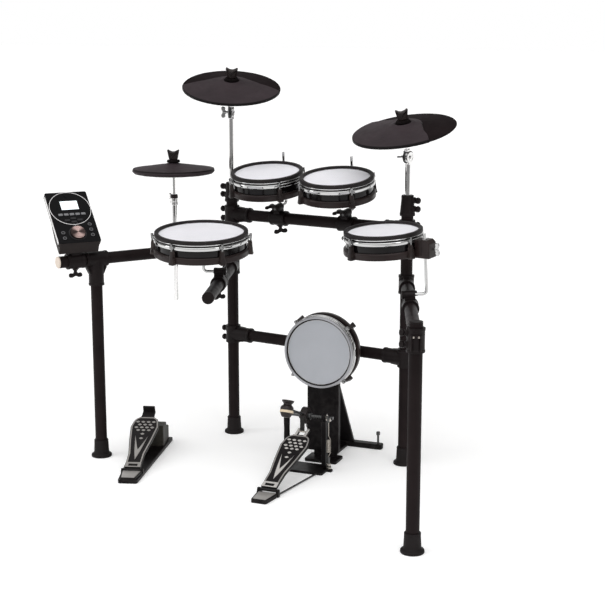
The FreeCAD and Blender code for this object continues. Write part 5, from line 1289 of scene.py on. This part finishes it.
def footboard_parts(shape, slotted):
    """Board with a silver outline, a field of dots, a bare chevron, its heel plate and its hinge barrel."""
    tilt = spun(board_slope, "X")
    tip = board_length
    right = [(half, run) for run, half in board.marks] + [(board.tip, tip)]
    left = [(-x, y) for x, y in reversed(right)]
    slot_foot = tip - board.slot_length
    slot = [(board.slot, tip), (board.slot, slot_foot), (-board.slot, slot_foot), (-board.slot, tip)]
    shape.prism(right + (slot if slotted else []) + left, 0, board.sheet, 0, tilt, board.edge, board.corner)
    shape.rod((-board.barrel_half, 0, 0), (board.barrel_half, 0, 0), board.barrel, 0)
    field = [board.line_foot, *[(half - board.margin, run) for run, half in board.marks[2:7]], board.line_top]
    line = soften(mirrored(field), board.line_corner)
    strip(shape, line, board.line, board.inlay_low, board.inlay_high, 1, tilt)
    if slotted:
        for side in (-1, 1):
            x, half = side * board.prong, board.prong_half
            prong = [(x - half, board.prong_low), (x + half, board.prong_low),
                     (x + half, tip - board.prong_gap), (x - half, tip - board.prong_gap)]
            shape.prism(prong, board.inlay_low, board.prong_high, 2, tilt, board.prong_edge,
                        board.prong_corner)
    else:
        shape.block(board.toe, board.toe_sheet / 2, board.toe_low, board.sheet + board.toe_height, 0,
                    tilt @ moved(0, tip - board.toe_sheet / 2), board.toe_edge)
    (near_half, near), (far_half, far) = board.heel
    heel_frame = [(-near_half, near), (near_half, near), (far_half, far), (-far_half, far)]
    shape.prism(heel_frame, board.heel_low, board.heel_high, 2, tilt, board.heel_edge, board.heel_corner)
    shape.block(board.window, board.window_deep, board.window_low, board.window_high, 0,
                tilt @ moved(0, board.window_place), board.window_edge)
    for row in range(4):
        count = 4 if row % 2 == 0 else 3
        for step in range(count):
            x = (step - (count - 1) / 2) * board.dot_pitch
            dot(shape, tilt @ moved(x, board.dot_top - row * board.dot_row))
    for run in board.single_dots:
        dot(shape, tilt @ moved(0, run))
    vee = [*board.vee, *[(-x, y) for x, y in reversed(board.vee[1:-1])]]
    shape.prism(vee, board.inlay_low, board.inlay_high, 2, tilt, board.vee_edge, board.vee_corner)


kick_axes = pedal_axes("kick_pedal_press", pedal.hinge_line)
shape = Shape()
shape.prism(oblong(pedal.base_half, pedal.base_deep, pedal.base_corner), 0, pedal.base_height, 0,
            kick_axes @ moved(0, pedal.base_place), pedal.base_edge)
for side in (-1, 1):
    across = kick_axes @ moved(side * pedal.post_half) @ ACROSS
    shape.prism(pedal.post_outline, -pedal.post_width / 2, pedal.post_width / 2, 0, across, pedal.post_edge,
                pedal.post_corner)
    hub = kick_axes @ moved(side * pedal.post_half, 0, pedal.shaft_height)
    shape.ring((-pedal.post_width / 2, 0, 0), (pedal.post_width / 2, 0, 0), pedal.bearing,
               pedal.bearing_bore, 0, hub, pedal.bearing_edge)
    shape.ring((side * pedal.race_in, 0, 0), (side * pedal.race_out, 0, 0), pedal.race, pedal.race_bore, 2,
               hub, pedal.race_edge)
    near = (side * pedal.link_near, -pedal.link_front, pedal.link_lift)
    far = (side * pedal.post_half, -pedal.link_rear, pedal.link_lift)
    shape.rod(near, far, pedal.link, 3, kick_axes)
heel_parts(shape, -pedal.heel_front, -pedal.heel_rear, pedal.heel_height, kick_axes)
shape.block(spring.ear_half, pedal.crank_width, 0, pedal.base_height, 0,
            kick_axes @ moved(spring.ear_place, -pedal.crank), spring.ear_edge)
anchor = kick_axes @ moved(spring.side, -pedal.crank)
shape.rod((0, 0, pedal.base_height - spring.sink), (0, 0, spring.bolt_top), spring.bolt, 3, anchor)
for low, high in spring.nuts:
    shape.disc(spring.nut, low, high, 2, anchor, spring.nut_edge, hex_sides)
piece("kick_pedal_frame", shape, [sheet_black, inlay, steel, dark_steel], "rack", "pedal_paint",
      stands_for=["kick_pedal_base"])

shape = Shape()
footboard_parts(shape, True)
hinge = kick_axes @ moved(0, pedal.hinge_line, pedal.hinge_height)
piece("kick_pedal_board", shape, [board_black, inlay, bright_inlay], "kick_footboard", "pedal_paint", hinge,
      ["kick_footboard"])

shape = Shape()
shaft = kick_axes @ moved(0, 0, pedal.shaft_height)
shape.rod((-pedal.shaft_left, 0, 0), (pedal.shaft_right, 0, 0), pedal.shaft, 3, shaft)
shape.disc(beater.cam, -beater.cam_half, beater.cam_half, 0, shaft @ spun(90, "Y"), beater.cam_edge,
           fine_steps)
shape.rod((-beater.hub_half, 0, 0), (beater.hub_half, 0, 0), beater.hub, 3, shaft, beater.cam_edge)
crank = [(x, -y) for x, y in beater.crank] + [(x, y) for x, y in reversed(beater.crank)]
shape.prism(crank, spring.side - beater.crank_half, spring.side + beater.crank_half, 3, shaft @ ACROSS,
            beater.crank_edge, beater.crank_corner)
lean = math.radians(beater.lean)
way = Vector((0, -math.cos(lean), math.sin(lean)))
shape.rod((0, 0, 0), way * beater.reach, beater.rod, 3, shaft)
head_place = shaft @ axes(way * beater.reach, X_WAY, -X_WAY.cross(way))
shape.lathe(beater.head_outline, beater.head_edge, 0, head_place)
shape.ring((0, 0, beater.band_low), (0, 0, beater.band_high), beater.band, beater.band_bore, 1, head_place,
           beater.band_edge)
for reach in (0.0, -pedal.crank):
    nut_place = shaft @ moved(spring.side + beater.nut_seat, reach) @ spun(90, "Y")
    shape.disc(beater.nut, 0, beater.nut_height, 2, nut_place, beater.nut_edge, hex_sides)
piece("kick_beater_arm", shape, [casing, cream, steel, dark_steel], "kick_beater", "pedal_paint",
      stands_for=["kick_beater"])

shape = Shape()
shape.block(strap.half, strap.sheet / 2, strap.low, pedal.shaft_height, 0, kick_axes @ moved(0, strap.line),
            strap.edge)
pin = (strap.pin_half, strap.line, strap.low + strap.pin)
shape.rod((-strap.pin_half, *pin[1:]), pin, strap.pin, 1, kick_axes)
piece("kick_drive_strap", shape, [webbing, steel], "kick_link", "strap_plastic", stands_for=["kick_link"])


def coil_points():
    """Run of the return spring: a short tail, its turns, a drawn-in neck and the straight hook wire."""
    tail = Vector((0, 0, spring.tail))
    first = Vector((spring.radius, 0, spring.foot))
    run = [Vector((0, 0, spring.bolt_top)), tail] + [tail.lerp(first, share) for share in spring.tail_shares]
    for step in range(spring.turns * spring.turn_steps + 1):
        turn = step / spring.turn_steps
        run.append(Vector((spring.radius * math.cos(2 * math.pi * turn),
                           spring.radius * math.sin(2 * math.pi * turn), spring.foot + spring.pitch * turn)))
    last = Vector((spring.radius, 0, spring.foot + spring.pitch * spring.turns))
    neck = Vector((0, 0, last.z + spring.neck))
    run += [last.lerp(neck, share) for share in spring.neck_shares]
    return run + [UP * height for height in spring.wire_heights]


shape = Shape()
shape.hose(coil_points(), spring.wire, 0, anchor, spring.wire_steps)
made = piece("kick_return_spring", shape, [steel], None, "chrome", stands_for=["kick_spring"])
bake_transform(made)

hat_axes = pedal_axes("hihat_pedal_press", hat_pedal.hinge_line)
shape = Shape()
plan = [(-hat_pedal.front_half, 0), (hat_pedal.front_half, 0), (hat_pedal.rear_half, hat_pedal.length),
        (-hat_pedal.rear_half, hat_pedal.length)]
shape.prism(plan, 0, hat_pedal.sheet, 0, hat_axes, hat_pedal.edge, hat_pedal.corner)
heel_parts(shape, hat_pedal.heel_front, hat_pedal.heel_rear, hat_pedal.heel_height, hat_axes)
low, rear = hat_pedal.sheet - hat_pedal.sink, hat_pedal.length - hat_pedal.sheet
profile = [(hat_pedal.housing_front, low), (rear, low), (rear, hat_pedal.housing_low),
           (hat_pedal.housing_step, hat_pedal.housing_low), (hat_pedal.housing_top, hat_pedal.housing_high),
           (hat_pedal.housing_front, hat_pedal.housing_high)]
shape.prism(profile, -hat_pedal.housing_half, hat_pedal.housing_half, 3, hat_axes @ ACROSS,
            hat_pedal.housing_edge, hat_pedal.housing_corner)
shape.disc(hat_pedal.stop, low, hat_pedal.stop_height, 4, hat_axes @ moved(0, hat_pedal.stop_place),
           hat_pedal.edge, hat_pedal.stop_steps, hat_pedal.flutes, hat_pedal.flute_share)
piece("hihat_pedal_frame", shape, [sheet_black, inlay, steel, olive, rubber], "rack", "pedal_paint",
      stands_for=["hihat_pedal_base"])
shape = Shape()
footboard_parts(shape, False)
hinge = hat_axes @ moved(0, hat_pedal.hinge_line, pedal.hinge_height)
piece("hihat_pedal_board", shape, [board_black, inlay, inlay], "hihat_footboard", "pedal_paint", hinge,
      ["hihat_footboard"])

# Sound module
face_normal = joint_axis("module_dial_turn")
face_side = UP.cross(face_normal).normalized()
face_up = face_normal.cross(face_side)
module_place = axes(joint_point("module_dial_turn") - face_up * module.length * (1 - module.dial_share),
                    face_side, face_normal)
half, length = module.width / 2, module.length


def from_top(share, x=0.0, y=0.0):
    """Place on the face, at a share of its length from the top."""
    return moved(x, length * (1 - share) + y)


shape = Shape()
plate = oblong(half, length / 2, module.corner)
shape.prism(plate, -module.skin, 0, 0, moved(0, length / 2), module.face_edge)
screen_half, screen_deep, rim = module.screen_width / 2, module.screen_length / 2, module.bezel
shape.block(screen_half, screen_deep, -module.sink, module.screen_rise, 2, from_top(module.screen_share),
            module.fine_edge)
strip(shape, oblong(screen_half + rim, screen_deep + rim, module.bezel_width), module.bezel_width,
      -module.sink, module.bezel_rise, 1, from_top(module.screen_share))
shape.ring((0, 0, -module.ring_sink), (0, 0, module.ring_rise), module.ring, module.ring - module.ring_width,
           3, from_top(module.ring_share), module.ring_edge, module.ring_steps)
shape.ring((0, 0, -module.ring_sink), (0, 0, module.well_rise), module.dial + module.well_out,
           module.dial - module.well_in, 1, from_top(module.dial_share), module.fine_edge)
shape.prism(module.pointer, -module.pointer_half, module.pointer_half, 4,
            from_top(module.dial_share, y=module.dial + module.pointer_gap), module.pointer_edge,
            module.pointer_corner)
piece("module_face", shape, [panel_black, key_dark, display, trim_silver, key_grey], "module",
      "module_plastic", module_place, ["module_panel"])

slope = math.radians(module.slope)
skirt = (module.skirt_back * math.cos(slope) - module.skirt * math.sin(slope),
         -module.skirt_back * math.sin(slope) - module.skirt * math.cos(slope))
shape = Shape()
shape.prism(plate, -module.deck, -module.skin - module.seam, 0, moved(0, length / 2), module.deck_edge)
lower = [(0, -module.skin * 2), skirt, (length * module.belly_share, -module.belly),
         (length * module.back_share, -module.deck + module.overlap)]
shape.prism(lower, -half + module.inset, half - module.inset, 0, ACROSS, module.case_edge, module.case_corner)
(near, high), (far, low) = module.band
side_band = [(near, high), (near, low), (length - far, low), (length - far, high)]
shape.prism(side_band, -half - module.band_rise, -half + module.band_sink, 1, ACROSS, module.band_edge,
            module.band_corner)
piece("module_body", shape, [case_brown, trim_silver], "module", "module_plastic", module_place,
      ["module_case"])

shape = Shape()
shape.lathe(dial.outline, dial.edge, 0, HERE, dial.steps)
shape.lathe(dial.grip, 0, 1, HERE, dial.grip_steps, dial.flutes, dial.flute_share)
piece("module_wheel", shape, [dial_metal, case_brown], "module_dial", "dial_metal",
      module_place @ from_top(module.dial_share), ["module_dial"])

shape = Shape()
for step in range(5):
    shape.block(key.soft_half, key.soft_deep, key.low, key.rise, 0,
                from_top(key.soft_share, (step - 2) * key.soft_pitch), key.edge)
piece("module_soft_buttons", shape, [key_grey], "module_soft_keys", "key_plastic", module_place,
      ["module_soft_keys"])
shape = Shape()
for x, y in ((0, key.menu_rise), (0, -key.menu_rise), (-key.menu_side, 0), (key.menu_side, 0)):
    shape.block(key.menu_half, key.menu_deep, key.low, key.rise, 0, from_top(key.menu_share, x, y), key.edge)
piece("module_menu_buttons", shape, [key_dark], "module_menu_keys", "key_plastic", module_place,
      ["module_menu_keys"])
shape = Shape()
rounds = [(key.left_share, -key.round_side, step) for step in range(2)]
rounds += [(key.right_share, key.round_side, step) for step in range(3)]
for share, x, step in rounds:
    place = from_top(share, x, -step * key.round_pitch)
    shape.lathe(key.cap_outline, key.cap_edge, 0, place, key.steps)
    shape.ring((0, 0, key.ring_low), (0, 0, key.ring_high), key.ring, key.ring_bore, 1, place, key.ring_edge,
               key.steps)
piece("module_round_buttons", shape, [key_dark, key_grey], "module_round_keys", "key_plastic", module_place,
      ["module_round_keys"])

shape = Shape()
grip = joint_point("module_tilt")
grip_sleeve(shape, grip, left_way)
boss(shape, grip, -UP)
wing(shape, grip - UP * screw.reach, -UP, left_way)
shape.block(module.web_half, module.web_depth, module.web_low, module.web_height, 0, axes(grip, left_way, UP),
            module.web_edge)
piece("module_clamp", shape, [moulding], "module", "moulding", stands_for=["module_mount"])

# Floor, light and camera
yaw = math.radians(camera_yaw)
forward = Vector((-math.sin(yaw), math.cos(yaw), 0))
floor_glow = 0.22
floor_reach = 60.0


def floor_finish():
    nodes = Nodes("floor_paper")
    front = nodes.add("VectorMath", operation="DOT_PRODUCT")
    nodes.join(nodes.coords, front.inputs[0])
    front.inputs[1].default_value = forward
    pale = nodes.spread(front.outputs["Value"], 0, 1, -5.0, -2.0)
    paper = nodes.mix(nodes.noise(3.0), (0.88, 0.88, 0.88), (0.90, 0.90, 0.90))
    nodes.paint(nodes.mix(pale, (0.25, 0.25, 0.25), paper))
    nodes.paint(nodes.spread(nodes.noise(50.0), 0.8, 0.9), "Roughness")
    nodes.shader.inputs["Emission Color"].default_value = (1, 1, 1, 1)
    nodes.paint(nodes.math("MULTIPLY", pale, floor_glow), "Emission Strength")
    nodes.bump(nodes.noise(400.0), 0.2, 0.00005)
    nodes.set(Specular_IOR_Level=0.0)
    return nodes.material


floor_mesh = bpy.data.meshes.new("floor")
corners = [(-1, -1), (1, -1), (1, 1), (-1, 1)]
floor_mesh.from_pydata([(x * floor_reach, y * floor_reach, 0) for x, y in corners], [], [(0, 1, 2, 3)])
floor_mesh.materials.append(floor_finish())
floor = bpy.data.objects.new("floor", floor_mesh)
bpy.context.scene.collection.objects.link(floor)

world = bpy.data.worlds.new("studio")
bpy.context.scene.world = world
world.use_nodes = True
tree = world.node_tree
sky = tree.nodes["Background"]
direction = tree.nodes.new("ShaderNodeTexCoord").outputs["Generated"]


def window(way, start, end):
    """Share of a soft light window round a direction."""
    dots = tree.nodes.new("ShaderNodeVectorMath")
    dots.operation = "DOT_PRODUCT"
    dots.inputs[1].default_value = Vector(way).normalized()
    tree.links.new(direction, dots.inputs[0])
    share = tree.nodes.new("ShaderNodeMapRange")
    share.interpolation_type = "SMOOTHSTEP"
    share.inputs["From Min"].default_value = start
    share.inputs["From Max"].default_value = end
    tree.links.new(dots.outputs["Value"], share.inputs["Value"])
    return share.outputs["Result"]


def blended(share, first, second):
    node = tree.nodes.new("ShaderNodeMix")
    node.data_type = "RGBA"
    tree.links.new(share, node.inputs["Factor"])
    ends = [socket for socket in node.inputs if socket.type == "RGBA"]
    for socket, value in zip(ends, (first, second)):
        if isinstance(value, tuple):
            socket.default_value = (*value, 1)
        else:
            tree.links.new(value, socket)
    return next(socket for socket in node.outputs if socket.type == "RGBA")


left_hand = UP.cross(forward)
light = blended(window(forward, 0.78, 0.96), (0.31, 0.305, 0.30), (1.0, 1.0, 1.0))
light = blended(window(UP * 0.85 - forward * 0.42 + left_hand * 0.18, 0.60, 0.82), light, (1.85, 1.85, 1.85))
tree.links.new(light, sky.inputs["Color"])
sky.inputs["Strength"].default_value = 1.0


def area_light(name, place, target, size, power):
    lamp = bpy.data.lights.new(name, "AREA")
    lamp.shape = "RECTANGLE"
    lamp.size, lamp.size_y = size
    lamp.energy = power
    made = bpy.data.objects.new(name, lamp)
    made.location = place
    made.rotation_euler = (Vector(target) - Vector(place)).to_track_quat("-Z", "Y").to_euler()
    bpy.context.scene.collection.objects.link(made)


area_light("left_light", (-3.2, -2.6, 2.2), (0, 0, 0.7), (0.8, 2.6), 24)
area_light("right_light", (3.6, -1.2, 2.4), (0, 0, 0.7), (0.8, 2.6), 18)

camera_data = bpy.data.cameras.new("camera")
camera_data.lens = camera_lens
camera_data.sensor_width = camera_sensor
camera_data.clip_start, camera_data.clip_end = 0.05, 300.0
camera = bpy.data.objects.new("camera", camera_data)
camera.location = camera_place
camera.rotation_euler = (math.radians(90 - camera_pitch), 0, math.radians(camera_yaw))
bpy.context.scene.collection.objects.link(camera)
bpy.context.scene.camera = camera
bpy.context.scene.view_settings.view_transform = "Standard"
